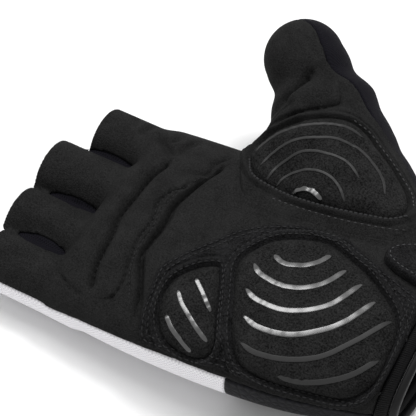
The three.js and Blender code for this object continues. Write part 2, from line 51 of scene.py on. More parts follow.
QUALITY = 1.0  # share of the full number of rings and points of the other surfaces
WALL = 1.9  # suede or fabric with its lining
EDGE = 0.7  # rounding of a panel's edges
PATCH = 1.4  # an overlaid layer of suede, its gap included
PAD_RISE = 3.2  # a cushion above the patch that carries it
TAB_RISE = 1.8  # the strap's end above an overlaid layer
GRIP_RISE = 0.24  # a silicone arc above its cushion
WEB_X = -31.0  # the webs between the fingers
SUEDE_END = 86.0  # the panels end here, and the elastic and the binding follow with small gaps
ELASTIC_START = 86.3
ELASTIC_END = 90.3
BINDING_START = 90.6
HEM = 93.0
BACK_SEAM = 39.7  # the mesh back meets the ripstop cuff
STRIP_HALF = 6.5  # how far the strips between the fingers reach down from the fingers' middle
STRIP_ROOT = -25.5  # where they end in the webs
STRIP_WRAP = 0.6  # they reach this share of a finger's half width inwards from its side
SLIT_HALF = (5.4, 5.4, 6.6)  # how far up they reach, where they show as slits
SLIT_MIDDLE = -42.0  # where along the fingers the slits are widest
SLIT_BEND = 0.017  # and how fast they narrow from there, times the distance squared

# How widely two parts of the glove are rounded into each other.
WEB_ROUND = 6.0
STUB_ROUND = 2.5
LIMB_ROUND = 3.0
THUMB_WEB_ROUND = 5.0
THUMB_ROOT_ROUND = 7.0
FLOOR_ROUND = 1.5

# The directions that the palm and the cushions on its heel face.
PALM_UP = np.array([0.0, 0.0, 1.0])
HEEL_UP = np.array([0.0, -math.sin(math.pi / 6), math.cos(math.pi / 6)])


def table(columns, *rows):
    """Turns rows of numbers into one array for each named column."""
    return dict(zip(columns.split(), np.array(rows, float).T))


# Sections of the hand: its two sides, its back and its palm at each place along it, and the power of its form,
# 2 for an ellipse and more for a fuller one.
HAND = table(
    "x little index low high round",
    (-44, -57, 27, 2, 23, 2.6),
    (-20, -59, 29, 0, 27, 2.6),
    (0, -60, 30, 0, 29, 2.6),
    (20, -60, 31, 0, 31, 2.5),
    (40, -59, 33, 0, 34, 2.4),
    (60, -56, 33, 0, 36, 2.3),
    (80, -50, 29, 1, 37, 2.2),
    (95, -45, 25, 2, 37, 2.1),
    (120, -43, 23, 2, 37, 2.1),
)

# Finger stubs, index to little: where each starts and ends, with half its width and half its depth.
FINGERS = table(
    "tip root_y root_z tip_y tip_z wide deep",
    (-50, 15, 13, 14, 14.5, 11.2, 11),
    (-58, -7, 13, -8.5, 15, 11.4, 11),
    (-57, -29, 12, -30.3, 13, 11, 10.5),
    (-55, -48.3, 11, -48.6, 12, 10.2, 10),
)
FINGER_ROOT = -20.0
STUB_RUN_ON = 0.3  # a stub's form runs on past its mouth by this share of its length, and the mouth is cut
FINGER_NAMES = ("index", "middle", "ring", "little")

# The thumb from inside the wrist to its mouth, and the web that joins it to the index finger.
THUMB = table(
    "x y z wide deep",
    (86, 4, 15, 14, 12),
    (62, 16, 18, 19, 15.5),
    (42, 27.3, 21, 22, 17),
    (28, 39, 26, 20.7, 16),
    (17.2, 50.6, 31.5, 18.2, 15),
    (3.2, 61.8, 38.8, 14.2, 14.2),
)
THUMB_WEB = table("x y z wide deep", (13, 21, 18.5, 11.5, 10.5), (20, 40, 27, 14, 13))
THUMB_MOUTH = 9.6  # the thumb's opening lies this far past its last section
MOUTH_FACING = np.array([-0.64, 0.765, -0.06])
THUMB_PINCH = 1.7  # how far the thumb is drawn in round its joint
PINCH_REACH = 5.0  # and how far along it to either side
THUMB_JOINT = np.array([10.5, 56.0, 35.0])
THUMB_ALONG = np.array([-11.0, 11.5, 6.5]) / np.linalg.norm([-11.0, 11.5, 6.5])

# The seam between palm and back, and the edge between the thumb's suede and its stretch strip.
SIDE_SEAM = table("x z", (-80, 14.0), (-26, 14.0), (-6, 16.6), (20, 19.2), (40, 20.7), (118, 20.7))
THUMB_SEAM = table(
    "x y z",
    (-12.4, 77.4, 55.5),
    (2.7, 65.8, 51.4),
    (13.4, 58.2, 50.0),
    (27.2, 53.8, 43.3),
    (37.8, 47.7, 39.2),
    (44.9, 41.4, 37.0),
    (55.3, 31.9, 35.2),
    (68.2, 20.0, 34.4),
    (86.8, 4.6, 34.4),
)
THUMB_SPLIT = 1.3  # how fast the difference between thumb and hand grows across the thumb's root
SEAM_OUT = np.array([1.0, 1.0, 0.0]) / math.sqrt(2)
SEAM_DOWN = np.array([0.05, -0.45, -0.9]) / math.sqrt(0.05**2 + 0.45**2 + 0.9**2)

# Outlines on the palm, as places in a plane that faces up or, on the heel, up and outwards.
HEEL_PATCH = np.array([
    (9.3, -40.6), (6.2, -34.9), (3.8, -23.8), (2.7, -16.8), (6, -10.1), (11.3, -3.1), (20.8, 8.1),
    (27.7, 12), (35.8, 15.4), (45.8, 17), (53.4, 17.3), (59.8, 14.8), (75.5, 10.7), (83.7, 7.7),
    (84.9, 4.6), (84.9, -25.5), (83.1, -28.8), (62, -35.5), (39.7, -38.2), (19.8, -40.3),
])
HEEL_PAD_LARGE = np.array([
    (25.4, -4.1), (27.8, 2), (31.6, 6.7), (38.3, 10.5), (47.7, 12.9), (57.4, 10.8), (65.6, 8.2), (72.2, 4.6),
    (78.7, 0.5), (82.5, -4.6), (83.7, -12.7), (83.1, -22.8), (78.7, -28.7), (63.9, -33.2), (49, -35.1),
    (42.4, -33.9), (37.4, -28.3), (31.1, -16.7),
])
HEEL_PAD_SMALL = np.array([
    (9.9, -18.3), (12.8, -13.8), (16.4, -10.6), (20.2, -9.1), (22.3, -11.7), (25.4, -17.3), (29.1, -25),
    (32.6, -32.5), (32.5, -35.9), (28.5, -38.2), (22.3, -38.4), (16.4, -36.9), (11.8, -31.9), (9.4, -24.8),
])
THENAR_PAD = np.array([
    (4.6, 22.3), (6.2, 18.7), (10.5, 13.8), (20.2, 10.7), (27.4, 9.7), (35.3, 9.5), (45.1, 10.3),
    (53.7, 11.6), (61, 13.7), (63.5, 17.7), (60.6, 25.9), (52.8, 31.9), (45.6, 35.7), (38.4, 39.1),
    (32.4, 39.6), (22.4, 35.7), (15.7, 32.3), (8.1, 28.7),
])
THUMB_FLAP = np.array([
    (3.5, 16.6), (6.7, 9.9), (12, 3.6), (22.8, 1.5), (34, 1.5), (43.4, 1.7), (53.3, 3.1), (62, 5), (71.3, 8.2),
    (73.2, 12.7), (70.7, 18.2), (62, 34), (40, 48), (20, 48), (4, 38), (-1, 26),
])
CLOSURE_TAB = np.array([
    (65.8, 0), (67, -3.2), (70.7, -5.5), (79.4, -7.7), (84.3, -8.6), (84.6, 0), (84.3, 10), (76.9, 9.1),
    (70.7, 6.4), (67, 3.2),
])

# Silicone arcs, as the places that each one's middle line passes in the plane that its cushion faces.
GRIPS = {
    "heel_pad_large": (
        ((35.7, 0.7), (39.6, -0.7), (44.9, 0.6), (49.7, 4.1), (52, 8.2)),
        ((31.6, -4.6), (34.5, -6.6), (38.8, -7.5), (44.5, -7.5), (49.1, -6.1), (54.9, -1.9), (59.1, 5.5)),
        ((34, -13), (37.6, -14.6), (42.2, -15), (48.1, -14.5), (53.6, -12.3), (60.1, -7.5), (66, 3.4)),
        ((38, -21), (42.5, -22.2), (47.5, -22), (54.4, -20.2), (60.5, -16.5), (66.7, -10.8), (72.6, 0)),
        ((41, -28.4), (45.5, -29.2), (50.3, -28.7), (57.9, -26.5), (65.8, -22), (72.9, -13.9), (80, -2.9)),
        ((56, -32.2), (61.5, -31.2), (69.4, -27.8), (77.1, -22), (82, -15.4)),
    ),
    "heel_pad_small": (
        ((17.2, -16.8), (21.9, -19.9), (27, -23.8)),
        ((14, -22.4), (17.6, -25.6), (21.1, -27.6), (26.2, -30.3), (31, -32.4)),
        ((14.6, -30.6), (18.6, -33.4), (22.3, -35), (27.3, -36.9)),
    ),
    "thenar_pad": (
        ((7.7, 21.6), (11.1, 26.6), (18, 30.7), (23.7, 33), (29.4, 35.2), (33.5, 36.1), (38, 36)),
        ((11.3, 16.4), (14.6, 22.7), (20.5, 27), (26.1, 29.1), (31.9, 31.1), (38.4, 31), (45.4, 28.4),
         (51.2, 24.8), (55, 20)),
        ((15.5, 12.4), (17.8, 19.2), (22.6, 23.8), (27.1, 25.3), (33.1, 25.5), (39.9, 24.3), (45, 21.4)),
        ((19.8, 11.4), (22.8, 16.3), (27.4, 19), (33.2, 19.2), (37.6, 18.1), (41.3, 16), (44.9, 12.4)),
        ((26.6, 10.4), (28.8, 11.8), (32.1, 12.6), (35.7, 11.7), (37.6, 10.8)),
    ),
}

# The lines of folds, creases and seams: places on the palm, with heights where the suede turns away from it.
CREASE_A = ((-19, 9), (-21, -3), (-21, -13), (-21, -23), (-19, -31), (-18, -38), (-17, -45), (-14, -53))
CREASE_B = ((-1.5, 15), (-5, 3), (-6, -3), (-7, -11), (-6, -17), (-6, -28), (-6, -33), (-4, -37), (1, -46),
            (6, -57))
ROW_TWO_SEAM = ((-9, 4), (-8, -1), (-11, -6), (-12, -13), (-10, -19), (-10, -28), (-8, -38), (-6, -46),
                (-7, -52), (-10, -54), (-14, -54))
ROW_ONE_SEAM = ((-30, -38), (-29, -49), (-24, -52), (-19, -54), (-15, -54))
BAND_SEAM = ((-6, 5), (-8.5, -4), (-9.5, -14), (-8, -24), (-8, -33), (-5.5, -41), (-1, -49))
INDEX_CREASE = ((-1, 20), (-5, 15), (-5, 9), (-9, 4))
WEDGE = ((13.3, 53.2, 49.7), (9.5, 45, 46), (5.8, 39, 40), (4, 36, 34.5))
THUMB_TIP_SEAM = ((0.3, 60.6, 51.5), (7, 57.5, 51.5), (12.8, 54.4, 50))
FLAP_CREASE = ((4, 15), (7, 8.2), (12.2, 1.5), (23.3, -0.1), (34.5, -0.2), (43.8, 0.2), (53.6, 1.5),
               (62.3, 3.5), (68.3, 5))
THUMB_PAD_SEAM = ((12, 54, 50), (16.5, 53, 49), (22, 50.5, 46.5), (25, 48, 45), (26, 45, 44), (23, 42, 43),
                  (18, 38, 43), (12, 34, 40), (7, 31, 34))

# Rows of how deep a fold is pressed in, half its width, the share of its length that each end takes to fade, and
# its line. A fold whose depth is less than 0 stands proud.
FOLDS = (
    (1.9, 1.4, 0.08, CREASE_A),
    (2.3, 1.3, 0.06, CREASE_B),
    (0.5, 1.1, 0.1, ROW_TWO_SEAM),
    (0.5, 1.1, 0.1, ROW_ONE_SEAM),
    (1.2, 1.3, 0.3, INDEX_CREASE),
    (1.9, 1.4, 0.4, ((-33, 23), (-35, 18), (-35, 12))),
    (1.9, 1.6, 0.35, ((-31, 19), (-25, 14), (-18, 9))),
    (1.5, 1.6, 0.35, ((-15, 24), (-18, 17), (-18, 9))),
    (1.3, 1.5, 0.4, ((-43, 22), (-40, 19), (-39, 14))),
    (1.4, 1.5, 0.4, ((-24, 24), (-23, 19), (-26, 15))),
    (0.7, 2.4, 0.4, ((-44, -20), (-38, -24), (-31, -26))),
    (0.6, 2.2, 0.4, ((-47, -34), (-41, -37), (-34, -36))),
    (-1.5, 4.4, 0.15, ((-26, 6), (-27, -8), (-26, -22), (-25, -34), (-23, -46))),
    (-1.5, 4.2, 0.15, ((-14, 4), (-15.5, -8), (-15.5, -20), (-14, -34), (-12, -48))),
    (-0.7, 2.2, 0.15, ((-6.5, 6), (-8.5, -8), (-8.5, -20), (-7, -34), (-3.5, -48))),
    (0.7, 0.9, 0.08, FLAP_CREASE),
    (2.3, 1.7, 0.3, WEDGE),
    (0.6, 1.3, 0.2, THUMB_TIP_SEAM),
    (0.9, 1.4, 0.1, THUMB_PAD_SEAM),
    (-1.6, 5.0, 0.3, ((20, 45, 46), (14, 42, 45), (9, 37, 41))),
)
# The narrow channels of the seams, in rows of the same kind.
CHANNELS = (
    (1.6, 0.45, 0.05, CREASE_A),
    (2.4, 0.5, 0.04, CREASE_B),
    (0.5, 0.4, 0.04, FLAP_CREASE),
    (0.9, 0.42, 0.06, ROW_TWO_SEAM),
    (0.8, 0.4, 0.08, ROW_ONE_SEAM),
    (0.7, 0.4, 0.1, BAND_SEAM),
    (0.5, 0.4, 0.3, INDEX_CREASE),
    (1.3, 0.7, 0.3, WEDGE),
    (0.8, 0.45, 0.15, THUMB_TIP_SEAM),
    (0.9, 0.5, 0.1, THUMB_PAD_SEAM),
)
PUCKER_PITCH = 2.7  # between the stitches that draw a channel in
PUCKER = 0.35  # share by which its depth changes between them


def linear(hex_code):
    """Turns an sRGB hex value into linear red, green, blue and alpha."""
    parts = [int(hex_code[i : i + 2], 16) / 255 for i in (1, 3, 5)]
    return (*(c / 12.92 if c <= 0.04045 else ((c + 0.055) / 1.055) ** 2.4 for c in parts), 1.0)


# Numbers and lines

FINE = 40  # points to each stretch of a curve before it is spaced evenly


def unit(vectors):
    """Each vector over its own length."""
    return vectors / np.linalg.norm(vectors, axis=-1, keepdims=True)


def lengths_along(line):
    """How far along a line each of its points lies: the sum of the steps before it."""
    return np.concatenate([[0], np.cumsum(np.linalg.norm(np.diff(line, axis=0), axis=1))])


def points_at(at, lengths, line):
    """The places of a line at the distances `at` along it."""
    return np.stack([np.interp(at, lengths, column) for column in line.T], axis=1)


def turning(outline):
    """The sign of an outline's area: +1 where it runs anticlockwise and -1 where it runs clockwise."""
    x, y = outline.T
    return np.sign(np.sum(x * np.roll(y, -1) - y * np.roll(x, -1)))


def smooth_line(places, spacing):
    """Passes a smooth curve through a few places and returns evenly spaced points on it, about `spacing` apart.

    Each stretch is the cubic whose slopes at its ends are the mean slopes of its neighbours.
    """
    places = np.array(places, float)
    along = lengths_along(places)
    fine = np.linspace(0, along[-1], FINE * len(places))
    curve = hermite(fine, along, places, np.gradient(places, along, axis=0))
    lengths = lengths_along(curve)
    count = max(int(round(lengths[-1] / spacing)), 2) + 1
    return points_at(np.linspace(0, lengths[-1], count), lengths, curve)


def smooth_loop(places, count):
    """Passes a smooth closed curve through the places and returns `count` evenly spaced points on it.

    The curve's own measure is the steps' lengths to the power 0.75, which keeps short steps from overshooting.
    """
    closed = np.array([*places[-3:], *places, *places[:3]], float)
    along = np.concatenate([[0], np.cumsum(np.linalg.norm(np.diff(closed, axis=0), axis=1) ** 0.75)])
    fine = np.linspace(along[3], along[3 + len(places)], FINE * len(places) + 1)
    curve = hermite(fine, along, closed, np.gradient(closed, along, axis=0))
    lengths = lengths_along(curve)
    return points_at(np.linspace(0, lengths[-1], count, endpoint=False), lengths, curve)


def hermite(at, knots, values, slopes):
    """The cubic between two knots that meets both values with both slopes, for every place in `at`."""
    i = np.clip(np.searchsorted(knots, at) - 1, 0, len(knots) - 2)
    step = knots[i + 1] - knots[i]
    t = np.clip((at - knots[i]) / step, 0, 1)
    shape = (-1,) + (1,) * (values.ndim - 1)
    t, step = t.reshape(shape), step.reshape(shape)
    first = (2 * t**3 - 3 * t**2 + 1) * values[i] + (t**3 - 2 * t**2 + t) * step * slopes[i]
    return first + (3 * t**2 - 2 * t**3) * values[i + 1] + (t**3 - t**2) * step * slopes[i + 1]


def smooth_min(a, b, blend):
    """The lesser of two fields, rounded where they are within `blend` of each other."""
    h = np.clip(0.5 + 0.5 * (b - a) / blend, 0, 1)
    return b * (1 - h) + a * h - blend * h * (1 - h)


def smooth_max(a, b, blend):
    """The greater of two fields, rounded where they are within `blend` of each other."""
    return -smooth_min(-a, -b, blend)


def bell(away, reach):
    """A bell curve: e to the power of minus the square of the distance over its reach."""
    return np.exp(-((away / reach) ** 2))


def smooth_step(x):
    """Rises from 0 to 1 as x does, level at both ends: 3 x^2 - 2 x^3."""
    x = np.clip(x, 0, 1)
    return x * x * (3 - 2 * x)


def taper(share, fade):
    """Rises from 0 at the start of a line to 1 and falls to 0 at its end."""
    return smooth_step(np.minimum(share, 1 - share) / fade)


def near_line(points, line, closed=False):
    """Distance of each point to a line of straight stretches, the share of the way along it, and the side.

    The side is +1 to the left of the nearest stretch and -1 to its right, and means something in a plane only.
    """
    ends = np.vstack([line, line[:1]]) if closed else np.asarray(line)
    best = np.full(len(points), np.inf)
    share = np.zeros(len(points))
    side = np.zeros(len(points))
    for i, (a, b) in enumerate(zip(ends[:-1], ends[1:])):
        d = b - a
        t = np.clip((points - a) @ d / (d @ d), 0, 1)
        away = points - a - t[:, None] * d
        squared = (away * away).sum(axis=1)
        nearer = squared < best
        best = np.where(nearer, squared, best)
        share = np.where(nearer, (i + t) / (len(ends) - 1), share)
        if ends.shape[1] == 2:
            rel = points - a
            side = np.where(nearer, np.sign(d[0] * rel[:, 1] - d[1] * rel[:, 0]), side)
    return np.sqrt(best), share, side


def outline_field(flat, outline):
    """Distance to a closed outline in its plane, less than 0 inside."""
    away, _, side = near_line(flat, outline, closed=True)
    return -away * side * turning(outline)


# The hand as a field, which is about the distance to its surface and less than 0 inside

HAND_X = np.linspace(HAND["x"][0], HAND["x"][-1], 400)
HAND_FINE = {
    name: hermite(HAND_X, HAND["x"], values, np.gradient(values, HAND["x"]))
    for name, values in HAND.items() if name != "x"
}


def palm_field(p):
    """Superellipse sections along the hand: (|y/a|^n + |z/b|^n)^(1/n) - 1, over the length of its own slope."""
    left, right, low, high, n = (np.interp(p[:, 0], HAND_X, HAND_FINE[c]) for c in HAND_FINE)
    a, b = (right - left) / 2, (high - low) / 2
    u = np.abs(p[:, 1] - (left + right) / 2) / a + 1e-6
    v = np.abs(p[:, 2] - (low + high) / 2) / b + 1e-6
    r = (u**n + v**n) ** (1 / n)
    slope = r ** (1 - n) * np.hypot(u ** (n - 1) / a, v ** (n - 1) / b)
    return (r - 1) / slope


def limb(p, start, end, wide, deep):
    """A capsule that is wide across and less deep: an ellipsoid's field, swept from one place to another."""
    along = end - start
    length = np.linalg.norm(along)
    e = along / length
    side = unit(np.cross(e, PALM_UP))
    up = np.cross(side, e)
    t = np.clip((p - start) @ e / length, 0, 1)
    away = p - start - t[:, None] * along
    w, h = wide[0] + (wide[1] - wide[0]) * t, deep[0] + (deep[1] - deep[0]) * t
    s, u, f = away @ side, away @ up, away @ e
    r = np.sqrt((s / w) ** 2 + (u / h) ** 2 + (f / h) ** 2) + 1e-6
    slope = np.sqrt((s / w**2) ** 2 + (u / h**2) ** 2 + (f / h**2) ** 2) / r + 1e-6
    return (r - 1) / slope


def hand_field(p):
    """The palm, cut at the finger webs, with the four stubs blended into it."""
    field = smooth_max(palm_field(p), WEB_X - p[:, 0], WEB_ROUND)
    for tip, root_y, root_z, tip_y, tip_z, wide, deep in zip(*FINGERS.values()):
        start = np.array([FINGER_ROOT, root_y, root_z])
        end = np.array([tip, tip_y, tip_z])
        end = end + STUB_RUN_ON * (end - start)
        field = smooth_min(field, limb(p, start, end, (wide, wide), (deep, deep)), STUB_ROUND)
    return field


def limbs(p, rows):
    """Capsules from row to row, blended into one limb."""
    places = np.stack([rows["x"], rows["y"], rows["z"]], axis=1)
    field = None
    for i in range(len(places) - 1):
        one = limb(p, places[i], places[i + 1], rows["wide"][i : i + 2], rows["deep"][i : i + 2])
        field = one if field is None else smooth_min(field, one, LIMB_ROUND)
    return field


def thumb_field(p):
    """The thumb's capsules, blended with the web beside the index finger and pinched in at the joint."""
    pinch = THUMB_PINCH * bell((p - THUMB_JOINT) @ THUMB_ALONG, PINCH_REACH)
    return smooth_min(limbs(p, THUMB) + pinch, limbs(p, THUMB_WEB), THUMB_WEB_ROUND)


def glove_field(p):
    """Hand and thumb, blended where they meet and flattened on the floor."""
    return smooth_max(smooth_min(hand_field(p), thumb_field(p), THUMB_ROOT_ROUND), -p[:, 2], FLOOR_ROUND)


CORNERS = np.array([(1, 1, 1), (1, -1, -1), (-1, 1, -1), (-1, -1, 1)], float)
CORNER_REACH = 0.05
DROP_HEIGHT = 60.0  # places start this far above their plane on their way down to the glove
DROP_STEPS = 70
DROP_SHARE = 0.6  # of the field's value that each step goes, which is safe where the field is steep
MISSED = 0.3  # a place that ends further from the surface has passed the glove by
SETTLE_HEIGHT = 16.0  # and is moved to the surface from here
SETTLE_STEPS = 12


def value_and_slope(p, field):
    """The field's value and slope at each point, from its values at four corners of a small cube round it."""
    values = np.stack([field(p + CORNER_REACH * corner) for corner in CORNERS])
    return values.mean(axis=0), values.T @ CORNERS / (4 * CORNER_REACH)


def normal_of(p):
    """The direction out of the glove at each point: its field's slope, made 1 long."""
    return unit(value_and_slope(p, glove_field)[1])


def seat(flat, facing):
    """Drops places in a plane that faces `facing` onto the glove, each step by part of the field's own value."""
    across = np.array([0, facing[2], -facing[1]])
    plane = flat[:, :1] * np.array([1.0, 0, 0]) + flat[:, 1:] * across
    points = plane + DROP_HEIGHT * facing
    for _ in range(DROP_STEPS):
        points = points - DROP_SHARE * glove_field(points)[:, None] * facing
    missed = ~(np.abs(glove_field(points)) < MISSED)
    if missed.any():
        points[missed] = settle(plane[missed] + SETTLE_HEIGHT * facing)
    return points


def settle(places):
    """Moves places to the surface nearest to them, along the field's slope by its value."""
    for _ in range(SETTLE_STEPS):
        places = places - glove_field(places)[:, None] * normal_of(places)
    return places


def drop(places):
    """Puts rows of x, y and perhaps z onto the glove's upper side."""
    places = np.asarray(places, float)
    return seat(places, PALM_UP) if places.shape[1] == 2 else settle(places)


FOLD_STEP = 1.5  # between the points along a fold


def lines_of(rows):
    """The rows of a table of folds, with each line smoothed and dropped onto the glove."""
    return [(depth, wide, fade, drop(smooth_line(line, FOLD_STEP))) for depth, wide, fade, line in rows]


FOLD_LINES, CHANNEL_LINES = lines_of(FOLDS), lines_of(CHANNELS)


def relief(p, lines, pucker):
    """How far each point is pressed in: a bell curve across every fold, faded at its ends.

    `pucker` is the share by which the depth rises and falls along the fold, as a sine, once for each stitch.
    """
    total = np.zeros(len(p))
    for depth, wide, fade, line in lines:
        low, high = line.min(axis=0) - 3 * wide, line.max(axis=0) + 3 * wide
        near = np.flatnonzero(np.all((p > low) & (p < high), axis=1))
        if len(near) == 0:
            continue
        away, share, _ = near_line(p[near], line)
        wave = 1 + pucker * np.sin(2 * np.pi * share * lengths_along(line)[-1] / PUCKER_PITCH)
        total[near] += depth * wave * bell(away, wide) * taper(share, fade)
    return total


def fine_relief(p):
    """Folds and channels together, for the sheets that are fine enough to show them."""
    return relief(p, FOLD_LINES, 0.0) + relief(p, CHANNEL_LINES, PUCKER)


# The parts of the palm and the thumb that carry a finer sheet, beneath which the panel itself lies deeper.
KNUCKLE_LOW, KNUCKLE_HIGH = np.array([-30.0, -55.5]), np.array([6.0, 22.5])
THUMB_SHEET = np.array([
    (-5.5, 76.5), (-5, 70), (-1.5, 63), (3, 56.5), (7, 51.5), (12, 50), (19, 51), (26, 55.5), (30, 61), (27, 67),
    (18, 71.5), (8, 76), (1, 79),
])
THUMB_SHEET_LINE = smooth_loop(THUMB_SHEET, 60)
THUMB_SHEET_ROOM = (32.0, 28.0, 26.0)  # it lies ahead of the first of these, and past and above the others
PALM_SIDE = 12.0  # above this height is the palm's side of the hand
SHEET_SINK = 1.3  # how far the panel lies under the middle of such a sheet
SHEET_RIM = 3.0  # how far inside its edge a sheet has risen to its full height
SINK_RUN = 2.0  # and over what distance from there the panel sinks
SHEET_BELOW = 0.3  # a sheet's rim lies under the panel's surface
SHEET_ABOVE = 0.06  # and its middle just above it


def inside_knuckles(flat):
    """Distance inside the rectangle over the knuckles."""
    return np.minimum(flat - KNUCKLE_LOW, KNUCKLE_HIGH - flat).min(axis=1)


def under_sheets(p, normals):
    """How far a panel is pressed in beneath the finer sheets, from 0 at their rims."""
    total = np.zeros(len(p))
    top = (p[:, 2] > PALM_SIDE) & (inside_knuckles(p[:, :2]) > 0)
    total[top] = SHEET_SINK * smooth_step((inside_knuckles(p[top, :2]) - SHEET_RIM) / SINK_RUN)
    flat = np.stack([p[:, 0], p @ np.cross([1.0, 0, 0], -HEEL_UP)], axis=1)
    behind, past, above = THUMB_SHEET_ROOM
    near = (p[:, 0] < behind) & (p[:, 1] > past) & (p[:, 2] > above) & (normals @ HEEL_UP > 0.1)
    inside = -outline_field(flat[near], THUMB_SHEET_LINE)
    total[near] = SHEET_SINK * smooth_step((inside - SHEET_RIM) / SINK_RUN)
    return total


def sheet_lift(inside):
    """A finer sheet starts under the panel's surface at its rim and lies just above it inside."""
    return -SHEET_BELOW + (SHEET_BELOW + SHEET_ABOVE) * smooth_step(inside / SHEET_RIM)


# Meshes


def build(name, points, faces, material, nodes):
    """Makes a smooth-shaded piece from its points and rows of corners. It replaces the CAD nodes named."""
    mesh = bpy.data.meshes.new(name)
    mesh.vertices.add(len(points))
    mesh.vertices.foreach_set("co", (points * MM).astype(np.float32).ravel())
    mesh.loops.add(faces.size)
    mesh.loops.foreach_set("vertex_index", faces.astype(np.int32).ravel())
    mesh.polygons.add(len(faces))
    mesh.polygons.foreach_set("loop_start", np.arange(0, faces.size, faces.shape[1], dtype=np.int32))
    mesh.polygons.foreach_set("use_smooth", np.ones(len(faces), dtype=bool))
    mesh.update(calc_edges=True)
    mesh.materials.append(material)
    piece = bpy.data.objects.new(name, mesh)
    bpy.context.collection.objects.link(piece)
    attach(piece, "root")
    if nodes:
        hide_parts(*nodes)
    return piece


GRID_LOW = np.array([-64.0, -66.0, -3.0])
GRID_HIGH = np.array([100.0, 82.0, 57.0])
GRID_SIZE = np.ceil((GRID_HIGH - GRID_LOW) / CELL).astype(int) + 1
BAND = 2.2  # the grid's values are worked out this far to either side of the wall
COARSE = 4  # cells of the grid to one of the coarser grid that finds the wall
CRUMB = 0.05  # a body of a panel with a lesser share of its points is dropped
CUT_REACH = 2.5 * EDGE  # how far from its cut edge a panel settles on the wall alone
EVENING = 0.6  # share of the way to its neighbours' mean that a panel's point moves
SETTLE_LIMIT = 0.6  # the furthest that it then moves to its field
LEAST_SLOPE = 0.2  # the square of the field's slope counts as this at least, where the field is nearly level


def grid_band():
    """The grid points near the glove's wall, found on a coarser grid first, with the field at each."""
    axes = [low + CELL * np.arange(count) for low, count in zip(GRID_LOW, GRID_SIZE)]
    coarse = [axis[::COARSE] for axis in axes]
    places = np.stack(np.meshgrid(*coarse, indexing="ij"), axis=-1).reshape(-1, 3)
    rough = glove_field(places).reshape([len(axis) for axis in coarse])
    reach = 1.8 * COARSE * CELL  # a coarse cell's diagonal, and a little more
    near = (rough > -WALL - BAND - reach) & (rough < BAND + reach)
    for axis in range(3):
        near = near.repeat(COARSE, axis=axis)
    near = near[: GRID_SIZE[0], : GRID_SIZE[1], : GRID_SIZE[2]]
    full = np.zeros(GRID_SIZE, bool)
    full[: near.shape[0], : near.shape[1], : near.shape[2]] = near
    index = np.argwhere(full)
    points = GRID_LOW + index * CELL
    field = glove_field(points)
    keep = (field > -WALL - BAND) & (field < BAND)
    return index[keep], points[keep], field[keep]


BAND_INDEX, BAND_POINTS, BAND_FIELD = grid_band()


def skin(values):
    """Reads the surface where a grid of values passes 0.

    Each cell that the surface crosses gets one point, at the mean of the crossings on its twelve edges, and each
    grid edge that the surface crosses gets one face, between the points of the four cells around it.
    """
    corners = list(itertools.product((0, 1), repeat=3))
    shape = np.array(values.shape) - 1
    inside = values < 0
    m, n, o = shape
    count = sum(inside[i : i + m, j : j + n, k : k + o].astype(np.int8) for i, j, k in corners)
    cells = np.argwhere((count > 0) & (count < 8))
    at = {c: values[tuple((cells + c).T)] for c in corners}
    total = np.zeros((len(cells), 3))
    hits = np.zeros(len(cells))
    for a, b in itertools.combinations(corners, 2):
        if sum(abs(p - q) for p, q in zip(a, b)) != 1:
            continue
        crossed = (at[a] < 0) != (at[b] < 0)
        share = np.where(crossed, at[a] / np.where(crossed, at[a] - at[b], 1), 0)
        total += crossed[:, None] * (np.array(a) + share[:, None] * (np.array(b) - np.array(a)))
        hits += crossed
    points = GRID_LOW + CELL * (cells + total / hits[:, None])
    number = np.full(shape, -1, np.int32)
    number[tuple(cells.T)] = np.arange(len(cells))
    faces = []
    for axis in range(3):
        one, two = (axis + 1) % 3, (axis + 2) % 3
        step = np.eye(3, dtype=int)
        first = inside.take(range(values.shape[axis] - 1), axis=axis)
        second = inside.take(range(1, values.shape[axis]), axis=axis)
        edges = np.argwhere(first != second)
        outward = first[tuple(edges.T)]
        ring = [edges - step[one] - step[two], edges - step[two], edges, edges - step[one]]
        quad = np.stack([number[tuple(corner.T)] for corner in ring], axis=1)
        faces.append(np.where(outward[:, None], quad, quad[:, ::-1]))
    return points, np.concatenate(faces)


def neighbours_mean(points, faces):
    """The mean of each point's neighbours along the faces' edges."""
    ends = np.concatenate([faces[:, [i, (i + 1) % 4]] for i in range(4)])
    ends = np.concatenate([ends, ends[:, ::-1]])
    count = np.bincount(ends[:, 0], minlength=len(points))
    total = [np.bincount(ends[:, 0], weights=points[ends[:, 1], k], minlength=len(points)) for k in range(3)]
    return np.stack(total, axis=1) / count[:, None]


def main_bodies(points, faces):
    """Drops crumbs: every point takes the least number that reaches it along the edges, and rare ones go."""
    label = np.arange(len(points))
    edges = np.concatenate([faces[:, [i, (i + 1) % 4]] for i in range(4)])
    while True:
        low = np.minimum(label[edges[:, 0]], label[edges[:, 1]])
        fresh = label.copy()
        np.minimum.at(fresh, edges[:, 0], low)
        np.minimum.at(fresh, edges[:, 1], low)
        fresh = fresh[fresh]
        if np.array_equal(fresh, label):
            break
        label = fresh
    sizes = np.bincount(label, minlength=len(label))
    kept = sizes[label] > CRUMB * len(label)
    number = np.cumsum(kept) - 1
    return points[kept], number[faces[kept[faces[:, 0]]]]


